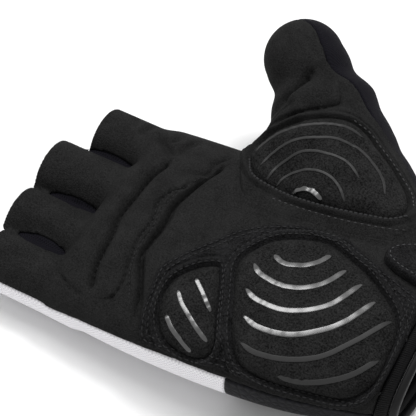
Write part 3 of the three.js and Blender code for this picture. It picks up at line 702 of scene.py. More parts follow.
def panel(name, region, material, nodes):
    """A closed panel, read from the grid and settled onto its field.

    The wall is |f + wall/2| - wall/2 for the glove's field f, and `region` cuts it with a rounded edge.
    `region` gives each point's distance past the panel's edge, less than 0 on the panel.
    """
    def wall_field(p, base=None):
        base = glove_field(p) if base is None else base
        return np.abs(base + WALL / 2) - WALL / 2

    def panel_field(p, base=None):
        return smooth_max(wall_field(p, base), region(p), EDGE)

    values = np.full(GRID_SIZE, 1.0)
    values[tuple(BAND_INDEX.T)] = panel_field(BAND_POINTS, BAND_FIELD)
    points, faces = main_bodies(*skin(values))
    for _ in range(2):
        points = (1 - EVENING) * points + EVENING * neighbours_mean(points, faces)
        at_edge = region(points) > -CUT_REACH
        for chosen, field in ((at_edge, panel_field), (~at_edge, wall_field)):
            value, slope = value_and_slope(points[chosen], field)
            size = np.maximum((slope**2).sum(axis=1), LEAST_SLOPE)
            points[chosen] -= np.clip(value / size, -SETTLE_LIMIT, SETTLE_LIMIT)[:, None] * slope
    normals = normal_of(points)
    pressed = relief(points, FOLD_LINES, 0.0) + under_sheets(points, normals)
    points = points - pressed[:, None] * normals
    return build(name, points, faces, material, nodes)


# Seams and regions of the panels. A region is the distance past a panel's edge, less than 0 on the panel.


def above_side_seam(p):
    """Distance below the seam between palm and back, less than 0 on the palm's side."""
    return np.interp(p[:, 0], SIDE_SEAM["x"], SIDE_SEAM["z"]) - p[:, 2]


def past_finger_mouths(p):
    """Distance past the mouth of the finger whose middle is nearest, in the finger's own half widths."""
    away = []
    for tip, root_y, root_z, tip_y, tip_z, wide, deep in zip(*FINGERS.values()):
        share = (p[:, 0] - FINGER_ROOT) / (tip - FINGER_ROOT)
        y, z = root_y + (tip_y - root_y) * share, root_z + (tip_z - root_z) * share
        away.append(np.hypot((p[:, 1] - y) / wide, (p[:, 2] - z) / deep))
    return FINGERS["tip"][np.argmin(away, axis=0)] - p[:, 0]


def beside_finger_strip(p, pair):
    """Distance outside the room for the strip between two neighbouring fingers."""
    one, two = pair, pair + 1
    left = FINGERS["root_y"][two] + STRIP_WRAP * FINGERS["wide"][two]
    right = FINGERS["root_y"][one] - STRIP_WRAP * FINGERS["wide"][one]
    middle = (FINGERS["root_z"][one] + FINGERS["root_z"][two]) / 2 + 1
    lens = SLIT_HALF[pair] - SLIT_BEND * (p[:, 0] - SLIT_MIDDLE) ** 2
    upright = np.where(p[:, 2] > middle, p[:, 2] - middle - lens, middle - p[:, 2] - STRIP_HALF)
    return all_of(left - p[:, 1], p[:, 1] - right, upright, p[:, 0] - STRIP_ROOT)


def off_thumb(p):
    """Distance outside the thumb: how much nearer the hand's surface is than the thumb's, brought to scale."""
    return (thumb_field(p) - hand_field(p)) / THUMB_SPLIT


def flat_of_seam(p):
    """Two coordinates seen along the direction in which the thumb's edge runs down."""
    one = unit(np.cross(SEAM_DOWN, SEAM_OUT))
    return np.stack([p @ one, p @ np.cross(one, SEAM_DOWN)], axis=1)


# The thumb's edge as a line seen that way, and the side of it on which the stretch strip lies.
SEAM_PLACES = np.stack([THUMB_SEAM["x"], THUMB_SEAM["y"], THUMB_SEAM["z"]], axis=1)
SEAM_FLAT = smooth_line(flat_of_seam(SEAM_PLACES), 5.0)
SEAM_SIDE = near_line(flat_of_seam(SEAM_PLACES[4:5] + 5 * SEAM_OUT), SEAM_FLAT)[2][0]


def outside_thumb_seam(p):
    """Distance past the thumb's edge between suede and stretch strip, more than 0 on the strip's side."""
    away, _, side = near_line(flat_of_seam(p), SEAM_FLAT)
    return away * side * SEAM_SIDE


def past_thumb_mouth(p):
    """Distance past the thumb's opening, which faces ahead and a little down."""
    last = np.array([THUMB[c][-1] for c in "xyz"])
    return (p - last) @ MOUTH_FACING - THUMB_MOUTH


def all_of(*parts):
    """The region inside all of the parts: the greatest of their distances."""
    return np.maximum.reduce(parts)


def strips(p):
    """The region of the three strips together: the least of their distances."""
    return np.minimum.reduce([beside_finger_strip(p, pair) for pair in range(3)])


def palm_region(p):
    """The suede palm, with the palm sides of the fingers."""
    cut = p[:, 0] - SUEDE_END
    return all_of(past_finger_mouths(p), cut, above_side_seam(p), -off_thumb(p), -strips(p))


def back_region(p):
    """The mesh back, from the fingers' mouths to the ripstop."""
    cut = p[:, 0] - BACK_SEAM
    return all_of(past_finger_mouths(p), cut, -above_side_seam(p), -off_thumb(p), -strips(p))


def cuff_region(p):
    """The ripstop at the back of the wrist."""
    return all_of(BACK_SEAM - p[:, 0], p[:, 0] - SUEDE_END, -above_side_seam(p), -off_thumb(p))


def strip_region(pair):
    """Gives the region of the strip between two neighbouring fingers."""
    return lambda p: all_of(past_finger_mouths(p), beside_finger_strip(p, pair))


def thumb_panel_region(p):
    """The thumb's suede, on the palm's side of its edge."""
    return all_of(off_thumb(p), outside_thumb_seam(p), past_thumb_mouth(p), p[:, 0] - SUEDE_END)


def thumb_back_region(p):
    """The thumb's stretch strip, from that edge down to the back."""
    return all_of(off_thumb(p), -outside_thumb_seam(p), past_thumb_mouth(p), p[:, 0] - SUEDE_END)


# Materials


def material_of(name, color, roughness, **values):
    """A material with its shader, and the colour and values set on the shader's own sockets."""
    material = bpy.data.materials.new(name)
    material.use_nodes = True
    shader = material.node_tree.nodes["Principled BSDF"]
    shader.inputs["Base Color"].default_value = linear(color)
    shader.inputs["Roughness"].default_value = roughness
    for socket, value in values.items():
        shader.inputs[socket.replace("_", " ")].default_value = value
    return material


def add(material, kind, settings=None, **links):
    """Adds a node with its settings. A link names an input, or i and its number, and gives what goes in."""
    tree = material.node_tree
    node = tree.nodes.new(kind)
    for name, value in (settings or {}).items():
        setattr(node, name, value)
    for name, value in links.items():
        numbered = name[0] == "i" and name[1:].isdigit()
        socket = node.inputs[int(name[1:]) if numbered else name.replace("_", " ")]
        if isinstance(value, bpy.types.NodeSocket):
            tree.links.new(value, socket)
        else:
            socket.default_value = value
    return node


def shader_of(material):
    """The material's own shader."""
    return material.node_tree.nodes["Principled BSDF"]


def link_bump(material, height, strength, distance):
    """Raises the material's surface by the height times `distance` mm."""
    bump = add(material, "ShaderNodeBump", Height=height, Strength=strength, Distance=distance * MM)
    material.node_tree.links.new(bump.outputs[0], shader_of(material).inputs["Normal"])


def link_tone(material, factor, low, high, start=0.0, end=1.0):
    """Colours the material between two tones as the factor goes from `start` to `end`."""
    tone = add(material, "ShaderNodeMapRange", Value=factor, From_Min=start, From_Max=end).outputs[0]
    mix = add(material, "ShaderNodeMix", {"data_type": "RGBA"}, i0=tone, i6=linear(low), i7=linear(high))
    material.node_tree.links.new(mix.outputs[2], shader_of(material).inputs["Base Color"])


def math_of(material, operation, one, two=0.0):
    """One step of arithmetic on values or outputs."""
    return add(material, "ShaderNodeMath", {"operation": operation}, i0=one, i1=two).outputs[0]


def suede(name, low, high, grain, depth):
    """Brushed microfibre: a nap of `grain` mm, raised by noise, with soft patches where its pile is stroked.

    The tone follows the nap's noise and 0.3 of the patches' noise.
    """
    material = material_of(name, low, 0.95, Specular_IOR_Level=0.09)
    place = add(material, "ShaderNodeTexCoord").outputs["Object"]
    nap = add(material, "ShaderNodeTexNoise", Vector=place, Scale=1000 / grain, Detail=2.0, Roughness=0.7)
    patches = add(material, "ShaderNodeTexNoise", Vector=place, Scale=150.0, Detail=3.0)
    both = math_of(material, "ADD", nap.outputs[0], math_of(material, "MULTIPLY", patches.outputs[0], 0.3))
    link_bump(material, nap.outputs[0], 1.0, depth)
    link_tone(material, both, low, high, 0.45, 0.85)
    return material


def net(name, low, high, pitch, roughness, depth, **values):
    """A knit: dimples in staggered rows, sin(x) times sin(y - z) over its pitch, with painted shade darkening
    their middles.
    """
    material = material_of(name, high, roughness, **values)
    place = add(material, "ShaderNodeTexCoord").outputs["Object"]
    parts = add(material, "ShaderNodeSeparateXYZ", Vector=place).outputs
    around = math_of(material, "SUBTRACT", parts[1], parts[2])
    turn = 2 * math.pi / (pitch * MM)
    rows = math_of(material, "SINE", math_of(material, "MULTIPLY", parts[0], turn))
    columns = math_of(material, "SINE", math_of(material, "MULTIPLY", around, turn))
    height = math_of(material, "MULTIPLY", rows, columns)
    link_bump(material, height, 1.0, depth)
    link_tone(material, height, low, high, -1.0, 0.1)
    return material


def scaled(name, low, high, pitch):
    """Small raised scales, `pitch` mm apart: the distance to the nearest edge of a Voronoi cell. Its colour is
    painted darker at each scale's edge as shade and lighter in its middle as a dull highlight.
    """
    material = material_of(name, low, 0.5, Specular_IOR_Level=0.15)
    place = add(material, "ShaderNodeTexCoord").outputs["Object"]
    to_edge = {"feature": "DISTANCE_TO_EDGE"}
    cells = add(material, "ShaderNodeTexVoronoi", to_edge, Vector=place, Scale=1000 / pitch)
    link_bump(material, cells.outputs[0], 1.0, 0.5)
    link_tone(material, cells.outputs[0], low, high, 0.0, 0.3)
    return material


# Microfibre suede, brushed: near black with no gloss, and a fine nap in softly clouded patches.
SUEDE = suede("microfibre_suede", "#131313", "#292929", 0.5, 0.3)
# The same suede drawn over foam: its nap stands up, so it looks coarser and more speckled.
PAD_SUEDE = suede("pad_suede", "#090909", "#2d2d2d", 0.6, 0.45)
# The suede of the overlay and the strap, sewn down: as coarse as on the foam and a little darker.
RIM_SUEDE = suede("patch_suede", "#090909", "#272728", 0.6, 0.45)
# Polyamide and elastane, warp knitted: a bluish black with hardly any sheen over fine loops, painted darker in
# their middles as shade.
STRETCH = net("stretch_knit", "#08080b", "#141319", 0.9, 0.85, 0.1, Specular_IOR_Level=0.12)
# Polyamide ripstop, coated and embossed with small scales: the darkest cloth, with a dull shine painted on each
# scale as a painted highlight and painted shade at its edges.
RIPSTOP = scaled("ripstop_fabric", "#040406", "#111117", 2.3)
# Polyester net, knitted: white and matt, with dimples painted greyish as shade.
MESH_FABRIC = net("mesh_fabric", "#dcd9e0", "#fcfbfe", 1.3, 0.8, 0.1)
# Rubber thread woven over with polyester: black, with a soft shine along each rib of the mesh.
ELASTIC = material_of("ribbed_elastic", "#09090a", 0.6, Specular_IOR_Level=0.2)
# Polyester tape, woven and folded: black and smooth, with a soft shine along its fold.
BINDING = material_of("binding_tape", "#0b0b0c", 0.6, Specular_IOR_Level=0.3)
# Silicone, screen printed: the same silicone as the glossy arcs, painted darker as painted shade and made rougher
# for the arcs that show dim: a dull grey line without highlights.
SILICONE_PAINTED_SHADE = material_of("silicone_painted_shade", "#222222", 0.55, Specular_IOR_Level=0.5)
# Silicone, screen printed and glossy: grey, with bright streaks where it faces the light.
SILICONE = material_of("silicone_gel", "#2b2b2b", 0.3, Specular_IOR_Level=1.0, IOR=1.65)
# Polyester thread, spun: a shade lighter than the suede, so that a seam shows as a fine dashed line.
THREAD = material_of("polyester_thread", "#232324", 0.6, Specular_IOR_Level=0.3)
# The same thread where it is pulled tight and shines, with that shine painted into its colour as a painted
# highlight: clearly paler than the suede.
THREAD_PAINTED_SHINE = material_of("polyester_thread_painted_shine", "#3a3a3b", 0.5)

# Panels

panel("palm_suede", palm_region, SUEDE, ["palm_panel"])
panel("back_mesh", back_region, MESH_FABRIC, ["back_panel"])
panel("back_ripstop", cuff_region, RIPSTOP, ["back_cuff"])
for pair in range(3):
    fingers = f"{FINGER_NAMES[pair]}_{FINGER_NAMES[pair + 1]}"
    panel(f"strip_{fingers}", strip_region(pair), STRETCH, [f"fourchette_{fingers}"])
panel("thumb_suede", thumb_panel_region, SUEDE, ["thumb_panel"])
panel("thumb_stretch", thumb_back_region, STRETCH, ["thumb_back"])


# Overlays and cushions

RING_CROWDING = 1.35  # an overlay's rings lie closer together towards its outline
SMALLEST_RING = 0.004  # share of the way to the outline at which its innermost ring lies
OVERLAY_SUNK = 0.6  # how far an overlay's underside lies in the glove's wall
KNUCKLE_SUNK = 0.7  # and that of the sheet over the knuckles


def outward(points, faces):
    """Turns a closed mesh's faces round if their signed volume is less than 0."""
    a, b, c = (points[faces[:, k]] for k in range(3))
    volume = np.einsum("ij,ij->i", a, np.cross(b, c)).sum()
    return faces if volume > 0 else faces[:, ::-1]


def halved(quads):
    """Two triangles for each row of four corners, split from its first corner to its third."""
    return np.concatenate([quads[:, [0, 1, 2]], quads[:, [0, 2, 3]]])


def between_rings(rings, around):
    """Rows of four corners that join each closed ring of `around` points to the next."""
    i, j = np.meshgrid(np.arange(rings - 1), np.arange(around), indexing="ij")
    a, b = i * around + j, i * around + (j + 1) % around
    return np.stack([a, b, b + around, a + around], axis=-1).reshape(-1, 4)


def polar_patch(name, outline, facing, rings, around, lift_of, material, nodes):
    """A closed overlay: rings inside an outline, dropped onto the glove and lifted along its normal.

    A point at share s of the way from the middle to the outline lies at middle + s * (outline - middle) in the
    plane, and `lift_of` gives its height from its distance inside the outline.
    """
    edge = smooth_loop(outline, around)
    middle = edge.mean(axis=0)
    share = 1 - np.linspace(0, 1, rings) ** RING_CROWDING
    share[-1] = SMALLEST_RING
    flat = (middle + share[:, None, None] * (edge - middle)).reshape(-1, 2)
    inside = -outline_field(flat, edge)
    seats = seat(flat, facing)
    normals = normal_of(seats)
    pressed = fine_relief(seats)
    top = seats + normals * (lift_of(np.maximum(inside, 0), flat) - pressed)[:, None]
    under = seats - normals * (OVERLAY_SUNK + pressed)[:, None]
    size, last = rings * around, (rings - 1) * around
    points = np.concatenate([top, under, [top[last:].mean(axis=0)], [under[last:].mean(axis=0)]])
    upper = between_rings(rings, around)
    j = np.arange(around)
    after = (j + 1) % around
    rim = np.stack([j + size, after + size, after, j], axis=1)
    faces = np.concatenate([
        halved(np.concatenate([upper, upper[:, ::-1] + size, rim])),
        np.stack([last + j, last + after, np.full(around, 2 * size)], axis=1),
        np.stack([size + last + after, size + last + j, np.full(around, 2 * size + 1)], axis=1),
    ])
    return build(name, points, faces if turning(edge) > 0 else faces[:, ::-1], material, nodes)


def grid_sheet(name, low, high, facing, step, lift_of, material, nodes):
    """A closed sheet over a rectangle: an even grid in a plane, dropped onto the glove and lifted."""
    counts = np.ceil((high - low) / step).astype(int) + 1
    axes = [np.linspace(a, b, n) for a, b, n in zip(low, high, counts)]
    flat = np.stack(np.meshgrid(*axes, indexing="ij"), axis=-1).reshape(-1, 2)
    seats = seat(flat, facing)
    normals = normal_of(seats)
    pressed = fine_relief(seats)
    top = seats + normals * (lift_of(flat) - pressed)[:, None]
    under = seats - normals * (KNUCKLE_SUNK + pressed)[:, None]
    m, n = counts
    i, j = np.meshgrid(np.arange(m - 1), np.arange(n - 1), indexing="ij")
    a = (i * n + j).ravel()
    upper = np.stack([a, a + n, a + n + 1, a + 1], axis=1)
    along, across = np.arange(m - 1) * n, np.arange(n - 1)
    rim = np.concatenate([along, (m - 1) * n + across, (m * n - 1) - along, (n - 1) - across])
    after = np.roll(rim, -1)
    size = m * n
    sides = np.stack([rim, rim + size, after + size, after], axis=1)
    faces = halved(np.concatenate([upper, upper[:, ::-1] + size, sides]))
    points = np.concatenate([top, under])
    return build(name, points, outward(points, faces), material, nodes)


def rounded(inside, height, radius):
    """A quarter round of the given height at the edge, flat further in."""
    t = np.clip(1 - inside / radius, 0, 1)
    return height * np.sqrt(1 - t * t)


# The cushions: outline, the way that it faces, and the rings and the points round it of its grid.
PADS = (
    ("heel_pad_large", HEEL_PAD_LARGE, HEEL_UP, 56, 240),
    ("heel_pad_small", HEEL_PAD_SMALL, HEEL_UP, 36, 160),
    ("thenar_pad", THENAR_PAD, PALM_UP, 50, 220),
)
PAD_FACING = {name: facing for name, _, facing, _, _ in PADS}
PAD_EDGES = {
    "heel_pad_large": smooth_loop(HEEL_PAD_LARGE, 120),
    "heel_pad_small": smooth_loop(HEEL_PAD_SMALL, 80),
    "thenar_pad": smooth_loop(THENAR_PAD, 120),
}


# A welt's section: the height of each bell curve, its place outside the cushion's edge and its reach.
WELT = ((0.95, 1.9, 0.9), (-1.3, 0.0, 0.7), (-0.55, 3.6, 0.5))
STITCH_GROOVE = 0.3  # how deep a row of stitches draws the suede in


def welt(out):
    """A welt round a cushion, with a groove on either side: the sum of its bell curves."""
    return sum(height * bell(out - place, reach) for height, place, reach in WELT)


def patch_lift(inside, flat):
    """The heel patch: a rounded and stitched edge, and a welt round each cushion."""
    lift = rounded(inside, PATCH, 1.2) - STITCH_GROOVE * bell(inside - 1.9, 0.5)
    for name in ("heel_pad_large", "heel_pad_small"):
        lift = lift + welt(outline_field(flat, PAD_EDGES[name]))
    return lift


FLAP_ACROSS = np.array([0.3, 0.95])  # points from the palm to the thumb
FLAP_BREAK = 42.0  # how far that way the flap has sunk level with the thumb's suede
FLAP_RUN = 5.0  # over what distance it sinks


def flap_lift(inside, flat):
    """The thumb's suede over the palm: a rounded edge there, level with the thumb's own suede on the far side."""
    out = outline_field(flat, PAD_EDGES["thenar_pad"])
    line = flat @ FLAP_ACROSS
    level = smooth_step((FLAP_BREAK - line) / FLAP_RUN)
    height = PATCH * smooth_step((9 - out) / 5) * level + (1 - level) * 0.25 * smooth_step((7 - out) / 3)
    edge = rounded(inside, 1.0, 0.9)
    stitched = STITCH_GROOVE * bell(inside - 4.6, 0.45) * level
    return (height + 0.35 * smooth_step((6 - out) / 3)) * edge - stitched + welt(out) - 0.3 * (1 - edge)


SEWN_DOWN = 0.35  # a cushion's edge is pulled down to this share of an overlaid layer
SHOULDER_RUN, CROWN_RUN = 5.5, 16.0  # how far inside its edge its shoulder and its crown end
SHOULDER_SHARE = 0.8  # of its rise is the shoulder's, and the rest the crown's
UNEVEN, DRAWN_IN = 0.07, 0.16  # how much its foam is uneven, and drawn in along the seam


def cushion_lift(inside, flat):
    """A cushion: sewn down at its edge, steep at its shoulder and gently crowned.

    The shoulder is 1 - (1 - inside / run)^2.6 and the crown 1 - (1 - inside / run)^2. Products of sines make
    the foam a little uneven and draw the suede in along the seam.
    """
    shoulder = 1 - np.clip(1 - inside / SHOULDER_RUN, 0, 1) ** 2.6
    crown = 1 - np.clip(1 - inside / CROWN_RUN, 0, 1) ** 2
    x, y = flat[:, 0], flat[:, 1]
    uneven = np.sin(0.9 * x + 0.5 * y) * np.sin(0.7 * y - 0.4 * x + 1.0) + 0.6 * np.sin(1.9 * x - 1.1 * y)
    drawn = np.exp(-((inside - 1.5) ** 2) / 4) * np.sin(2.2 * x + 0.7 * y) * np.sin(2.0 * y - 0.5 * x)
    rise = PAD_RISE * (SHOULDER_SHARE * shoulder + (1 - SHOULDER_SHARE) * crown)
    return PATCH * SEWN_DOWN + rise + UNEVEN * uneven * shoulder + DRAWN_IN * drawn


def tab_lift(inside, flat):
    """The strap's end: flat, with a quarter round at its edge."""
    return rounded(inside, PATCH + TAB_RISE, 1.2)


polar_patch("heel_patch_suede", HEEL_PATCH, HEEL_UP, int(96 * QUALITY), int(400 * QUALITY), patch_lift,
            RIM_SUEDE, ["heel_patch"])
polar_patch("thumb_flap_suede", THUMB_FLAP, PALM_UP, int(84 * QUALITY), int(360 * QUALITY), flap_lift,
            SUEDE, ["thumb_panel"])
polar_patch("thumb_fold_suede", THUMB_SHEET, HEEL_UP, int(64 * QUALITY), int(240 * QUALITY),
            lambda inside, flat: sheet_lift(inside), SUEDE, ["thumb_panel"])
grid_sheet("knuckle_suede", KNUCKLE_LOW, KNUCKLE_HIGH, PALM_UP, 0.34 / QUALITY,
           lambda flat: sheet_lift(inside_knuckles(flat)), SUEDE, ["palm_panel"])
for name, outline, facing, rings, around in PADS:
    piece = polar_patch(f"{name}_suede", outline, facing, int(rings * QUALITY), int(around * QUALITY),
                        cushion_lift, PAD_SUEDE, [name])
polar_patch("closure_tab_suede", CLOSURE_TAB, PALM_UP, 24, 96, tab_lift, RIM_SUEDE, ["closure_tab"])


# Silicone arcs

GRIP_SUNK = 0.25  # a bead's underside lies this deep in its cushion
BEAD_POINTS = 11  # over a bead's top
BEAD_END = 0.25  # a bead's ends are this share of its size
BEAD_FADE = 0.08  # and it grows from them over this share of its length
ARC_STEP = 0.5  # between the points along an arc


def height_above(lift_of, edge, clear=0.0):
    """Gives places in an overlay's plane the height of its top, and `clear` more."""
    return lambda flat: lift_of(np.maximum(-outline_field(flat, edge), 0), flat) + clear


def laid_line(flat, facing, height_of):
    """A line in a plane, dropped onto the glove and lifted along its normals by `height_of`."""
    ground = seat(flat, facing)
    normals = normal_of(ground)
    return ground + normals * height_of(flat)[:, None], normals


def square_to(ahead, normals):
    """Sideways and up where a line runs `ahead`, with up as near to the normals as it can be."""
    side = unit(np.cross(normals, ahead))
    return side, np.cross(ahead, side)


def swept(path, normals, profile, scale):
    """Carries a closed profile of (sideways, up) places along a path, shrunk by `scale` at each of its points."""
    side, up = square_to(unit(np.gradient(path, axis=0)), normals)
    ring = profile[None, :, :] * scale[:, None, None]
    points = path[:, None, :] + ring[..., :1] * side[:, None, :] + ring[..., 1:] * up[:, None, :]
    return points.reshape(-1, 3)


def tube_faces(steps, around):
    """Faces of a tube of rings, with its two ends closed by fans of triangles."""
    j = np.arange(1, around - 1)
    first = np.stack([np.zeros_like(j), j + 1, j], axis=-1)
    last = np.stack([np.zeros_like(j), j, j + 1], axis=-1) + (steps - 1) * around
    return np.concatenate([halved(between_rings(steps, around)), first, last])


def flat_bead(count, width):
    """A printed bead: a top with round shoulders, (cos^0.4, sin^0.35) of half a turn, and a flat underside."""
    turn = np.linspace(0, np.pi, count)
    cos, sin = np.cos(turn), np.sin(turn)
    top = np.stack([np.sign(cos) * np.abs(cos) ** 0.4 * width / 2, np.abs(sin) ** 0.35 * GRIP_RISE], axis=1)
    return np.concatenate([top, [[-width / 2, -GRIP_SUNK], [width / 2, -GRIP_SUNK]]])


# The arcs of each cushion: their name, their width, which take the darker silicone as painted shade, and the
# width of those.
ARCS = {
    "heel_pad_large": ("heel_grip", 1.9, (5, 6), 1.7),
    "heel_pad_small": ("side_grip", 1.5, (), 1.5),
    "thenar_pad": ("thenar_grip", 1.9, (1, 2, 3, 4), 0.95),
}
for pad, lines in GRIPS.items():
    arc_name, glossy_width, shade_painted_arcs, shade_painted_width = ARCS[pad]
    for number, line in enumerate(lines, 1):
        on_cushion = height_above(cushion_lift, PAD_EDGES[pad])
        path, normals = laid_line(smooth_line(line, ARC_STEP), PAD_FACING[pad], on_cushion)
        grown_by = np.sqrt(taper(np.linspace(0, 1, len(path)), BEAD_FADE))
        # An arc that shows dim takes the darker, rougher copy of the silicone: painted shade.
        shade_painted = number in shade_painted_arcs
        profile = flat_bead(BEAD_POINTS, shade_painted_width if shade_painted else glossy_width)
        points = swept(path, normals, profile, BEAD_END + (1 - BEAD_END) * grown_by)
        faces = outward(points, tube_faces(len(path), len(profile)))
        build(f"{arc_name}_bead_{number}", points, faces, SILICONE_PAINTED_SHADE if shade_painted else SILICONE,
              [f"{arc_name}_{number}"])


# Bands round the wrist

RING_FINE = 4001  # points round a section before it is spaced evenly
RING_LOW = 0.3  # height of the bands' middle over the floor where they lie on it


def hand_ring(x, count):
    """Evenly spaced points round the hand's section at x, with the directions out of it.

    The section is the superellipse (cos^(2/n), sin^(2/n)), kept a little above the floor.
    """
    left, right, low, high, n = (np.interp(x, HAND_X, HAND_FINE[c]) for c in HAND_FINE)
    turn = np.linspace(0, 2 * np.pi, RING_FINE)
    c, s = np.cos(turn), np.sin(turn)
    y = (left + right) / 2 + np.sign(c) * np.abs(c) ** (2 / n) * (right - left) / 2
    z = np.maximum((low + high) / 2 + np.sign(s) * np.abs(s) ** (2 / n) * (high - low) / 2, RING_LOW)
    section = np.stack([np.full(RING_FINE, float(x)), y, z], axis=1)
    lengths = lengths_along(section)
    ring = points_at(np.linspace(0, lengths[-1], count, endpoint=False), lengths, section)
    ahead = np.roll(ring, -1, axis=0) - np.roll(ring, 1, axis=0)
    return ring, unit(np.stack([np.zeros(count), ahead[:, 2], -ahead[:, 1]], axis=1))


def wrist_band(name, start, end, profile_of, count, material, nodes):
    """A closed band: a section of (along, out) places carried round the wrist, each given by `profile_of`."""
    sections = profile_of(count)
    around = sections.shape[1]
    places = start + (end - start) * sections[..., 0]
    points = np.empty((count, around, 3))
    for k in range(around):
        ring, out = hand_ring(places[0, k], count)
        points[:, k] = ring + out * sections[:, k, 1:]
        points[:, k, 0] = places[:, k]
    points[..., 2] = np.maximum(points[..., 2], 0.0)
    points = points.reshape(-1, 3)
    faces = halved(between_rings(count + 1, around) % len(points))
    return build(name, points, outward(points, faces), material, nodes)


RIB_PITCH = 0.7  # between the ribs of the elastic


def ribbed(count):
    """Ribs across the band: a row of round tops, |sin|^0.8, on the outer side of a flat strap."""
    ribs = int(round(lengths_along(hand_ring(ELASTIC_START, count)[0])[-1] / RIB_PITCH))
    wave = np.abs(np.sin(np.pi * ribs * np.arange(count) / count)) ** 0.8
    along = np.array([0, 0, 0.12, 0.35, 0.65, 0.88, 1, 1])
    out = np.array([-WALL, -0.5, 0.0, 0.25, 0.25, 0.0, -0.5, -WALL])
    rib = np.array([0, 0, 0.25, 0.4, 0.4, 0.25, 0, 0])
    sections = np.empty((count, len(along), 2))
    sections[..., 0] = along
    sections[..., 1] = out + rib * (wave[:, None] - 0.6)
    return sections


def rolled(count):
    """A folded tape: flat inside, and half a turn of a flattened circle outside."""
    turn = np.linspace(0, np.pi, 9)
    along = np.concatenate([[1.0, 0.0], 0.5 - 0.5 * np.cos(turn)])
    out = np.concatenate([[-WALL, -WALL], -0.4 + 0.8 * np.sin(turn)])
    return np.broadcast_to(np.stack([along, out], axis=1), (count, len(along), 2))


wrist_band("cuff_ribbed_elastic", ELASTIC_START, ELASTIC_END, ribbed, int(1600 * QUALITY), ELASTIC,
           ["cuff_elastic"])
wrist_band("cuff_binding_tape", BINDING_START, HEM, rolled, 240, BINDING, ["cuff_binding"])


# Stitches

STITCH_SIDES = 6  # round a stitch
STITCH_RINGS = table("along wide", (-0.5, 0.45), (-0.32, 0.95), (0, 1.1), (0.32, 0.95), (0.5, 0.45))
HEADING_REACH = 0.3  # a stitch points along the line from this far before it to this far after it
SEAM_STEP = 0.5  # between the points along a seam
SUNK_CLEAR = 0.16  # how far a stitch's middle stands above the suede in a fold


def stitch_grain():
    """One stitch, as (along, sideways, up) places: rings of a stretched ball squashed at its ends."""
    turn = np.tile(2 * np.pi * np.arange(STITCH_SIDES) / STITCH_SIDES, len(STITCH_RINGS["along"]))
    along, wide = (np.repeat(STITCH_RINGS[c], STITCH_SIDES) for c in ("along", "wide"))
    return np.stack([along, np.cos(turn) * wide, np.sin(turn) * wide], axis=1)


def stitches(name, lines, material, length=1.3, gap=0.8, thick=0.2):
    """Stitches along lines on the surface: a grain in every `length` and `gap`, its back along the normal."""
    grain = stitch_grain()
    size = len(grain)
    all_points, all_faces, total = [], [], 0
    for path, normals in lines:
        steps = lengths_along(path)
        count = max(int(steps[-1] / (length + gap)), 1)
        at = (np.arange(count) + 0.5) * steps[-1] / count
        ahead = unit(points_at(at + HEADING_REACH, steps, path) - points_at(at - HEADING_REACH, steps, path))
        side, up = square_to(ahead, points_at(at, steps, normals))
        points = (
            points_at(at, steps, path)[:, None] + grain[None, :, :1] * length * ahead[:, None]
            + grain[None, :, 1:2] * thick * side[:, None] + grain[None, :, 2:] * thick * up[:, None]
        )
        faces = outward(points[0], tube_faces(size // STITCH_SIDES, STITCH_SIDES))
        all_points.append(points.reshape(-1, 3))
        all_faces.append((faces[None] + size * np.arange(count)[:, None, None] + total).reshape(-1, 3))
        total += size * count
    return build(name, np.concatenate(all_points), np.concatenate(all_faces), material, [])


def grown(edge, reach):
    """An outline moved outwards by `reach`."""
    ahead = np.roll(edge, -1, axis=0) - np.roll(edge, 1, axis=0)
    return edge + reach * unit(np.stack([ahead[:, 1], -ahead[:, 0]], axis=1) * turning(edge))


def patch_seam(edge, facing, height_of, reach):
    """A closed line round an outline at `reach` outside it."""
    flat = grown(edge, reach)
    return laid_line(np.vstack([flat, flat[:1]]), facing, height_of)


def seam_line(places, facing, height_of):
    """A line through a few places."""
    return laid_line(smooth_line(places, SEAM_STEP), facing, height_of)


def sunk_line(places):
    """A line through a few places on the palm, at the bottom of its fold."""
    ground = drop(smooth_line(places, SEAM_STEP))
    normals = normal_of(ground)
    return ground + normals * (SUNK_CLEAR - fine_relief(ground))[:, None], normals


PATCH_EDGE = smooth_loop(HEEL_PATCH, 300)
FLAP_EDGE = smooth_loop(THUMB_FLAP, 200)
TAB_EDGE = smooth_loop(CLOSURE_TAB, 160)
on_patch = height_above(patch_lift, PATCH_EDGE, 0.1)
on_flap = height_above(flap_lift, FLAP_EDGE, 0.05)
on_tab = height_above(tab_lift, TAB_EDGE, 0.08)
THENAR_LOW = ((5.2, 19.6), (10, 12.8), (20.2, 9.4), (27.4, 8.4), (35.3, 8.2), (45.1, 9), (53.7, 10.3),
              (61.3, 12.2), (65.2, 16))
THENAR_SIDE = ((64.6, 22), (61.5, 27.3), (53.6, 33), (46.3, 36.9), (38.9, 40.3), (32.4, 40.9))
FLAP_STITCH = ((21, 5.6), (34, 5.2), (44, 5.7), (53.5, 7), (62, 9), (67.5, 12))

stitches("heel_stitches", [
    patch_seam(PATCH_EDGE, HEEL_UP, on_patch, -1.5),
    patch_seam(PATCH_EDGE, HEEL_UP, on_patch, -3.2),
    patch_seam(smooth_loop(HEEL_PAD_LARGE, 240), HEEL_UP, on_patch, 1.2),
    patch_seam(smooth_loop(HEEL_PAD_LARGE, 240), HEEL_UP, on_patch, 3.4),
    patch_seam(smooth_loop(HEEL_PAD_SMALL, 160), HEEL_UP, on_patch, 1.2),
], THREAD)
stitches("knuckle_stitches", [sunk_line(CREASE_A[3:]), sunk_line(ROW_TWO_SEAM[1:6]), sunk_line(BAND_SEAM)],
         THREAD, length=0.9, gap=0.7, thick=0.17)
stitches("thenar_rope_stitches", [seam_line(THENAR_LOW, PALM_UP, on_flap)], THREAD,
         length=1.5, gap=0.15, thick=0.5)
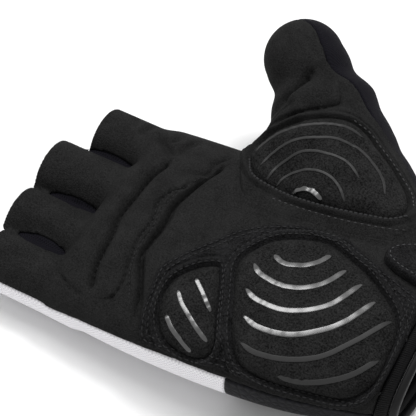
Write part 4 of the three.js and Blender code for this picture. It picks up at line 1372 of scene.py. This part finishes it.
# These stitches, and those of the tab and the flap, take the thread with its shine painted in.
stitches("thenar_shine_painted_stitches", [seam_line(THENAR_SIDE, PALM_UP, on_flap)], THREAD_PAINTED_SHINE,
         length=1.1, gap=0.9, thick=0.2)
stitches("tab_stitches", [patch_seam(TAB_EDGE, PALM_UP, on_tab, -1.7)], THREAD_PAINTED_SHINE,
         length=1.1, gap=0.8, thick=0.18)
stitches("flap_stitches", [seam_line(FLAP_STITCH, PALM_UP, on_flap)], THREAD_PAINTED_SHINE,
         length=1.1, gap=1.2, thick=0.16)


# Floor, light and camera

CAMERA_AZIMUTH = math.radians(30)
CAMERA_ELEVATION = math.radians(50)
CAMERA_DISTANCE = 620.0
FRAME_WIDTH = 141.0  # what the picture takes in at the target
TARGET = Vector((0, 0, 20))
SENSOR = 36.0
FLOOR_REACH = 4000
WORLD_STRENGTH = 0.56


def pointing(place, target):
    """A turn that points an object's -Z from its place to a target."""
    return (Vector(target) - Vector(place)).to_track_quat("-Z", "Y").to_euler()


def add_light(name, place, target, size, power):
    """A square softbox that faces a target."""
    data = bpy.data.lights.new(name, "AREA")
    data.shape = "SQUARE"
    data.size = size * MM
    data.energy = power
    light = bpy.data.objects.new(name, data)
    light.location = Vector(place) * MM
    light.rotation_euler = pointing(place, target)
    bpy.context.collection.objects.link(light)
    return light


floor_mesh = bpy.data.meshes.new("floor")
corners = [(-1, -1, 0), (1, -1, 0), (1, 1, 0), (-1, 1, 0)]
floor_mesh.from_pydata([Vector(corner) * FLOOR_REACH * MM for corner in corners], [], [(0, 1, 2, 3)])
floor = bpy.data.objects.new("floor", floor_mesh)
# Uncoated paper: white and quite matt, so that the shadow on it is soft and nothing is mirrored.
floor_mesh.materials.append(material_of("white_paper", "#f4f4f4", 0.9, Specular_IOR_Level=0.1))
bpy.context.collection.objects.link(floor)

world = bpy.data.worlds.new("studio")
world.use_nodes = True
world.node_tree.nodes["Background"].inputs["Color"].default_value = (1, 1, 1, 1)
world.node_tree.nodes["Background"].inputs["Strength"].default_value = WORLD_STRENGTH
bpy.context.scene.world = world

# The light from behind casts the soft shadow towards the camera; polarised, it leaves no highlights.
back_light = add_light("back_softbox", (160, 500, 1100), (0, 0, 20), 300, 7.2)
back_light.visible_glossy = False
# The one at the side puts the bright streaks on the silicone.
add_light("side_softbox", (-400, 160, 900), (40, -20, 30), 420, 4.0)

back = Vector((
    math.sin(CAMERA_AZIMUTH) * math.cos(CAMERA_ELEVATION),
    -math.cos(CAMERA_AZIMUTH) * math.cos(CAMERA_ELEVATION),
    math.sin(CAMERA_ELEVATION),
))
camera_data = bpy.data.cameras.new("camera")
camera_data.sensor_width = SENSOR
camera_data.lens = SENSOR * CAMERA_DISTANCE / FRAME_WIDTH
camera_data.clip_end = 20
camera = bpy.data.objects.new("camera", camera_data)
camera.location = (TARGET + back * CAMERA_DISTANCE) * MM
camera.rotation_euler = (-back).to_track_quat("-Z", "Y").to_euler()
bpy.context.collection.objects.link(camera)
bpy.context.scene.camera = camera
bpy.context.scene.view_settings.view_transform = "Standard"
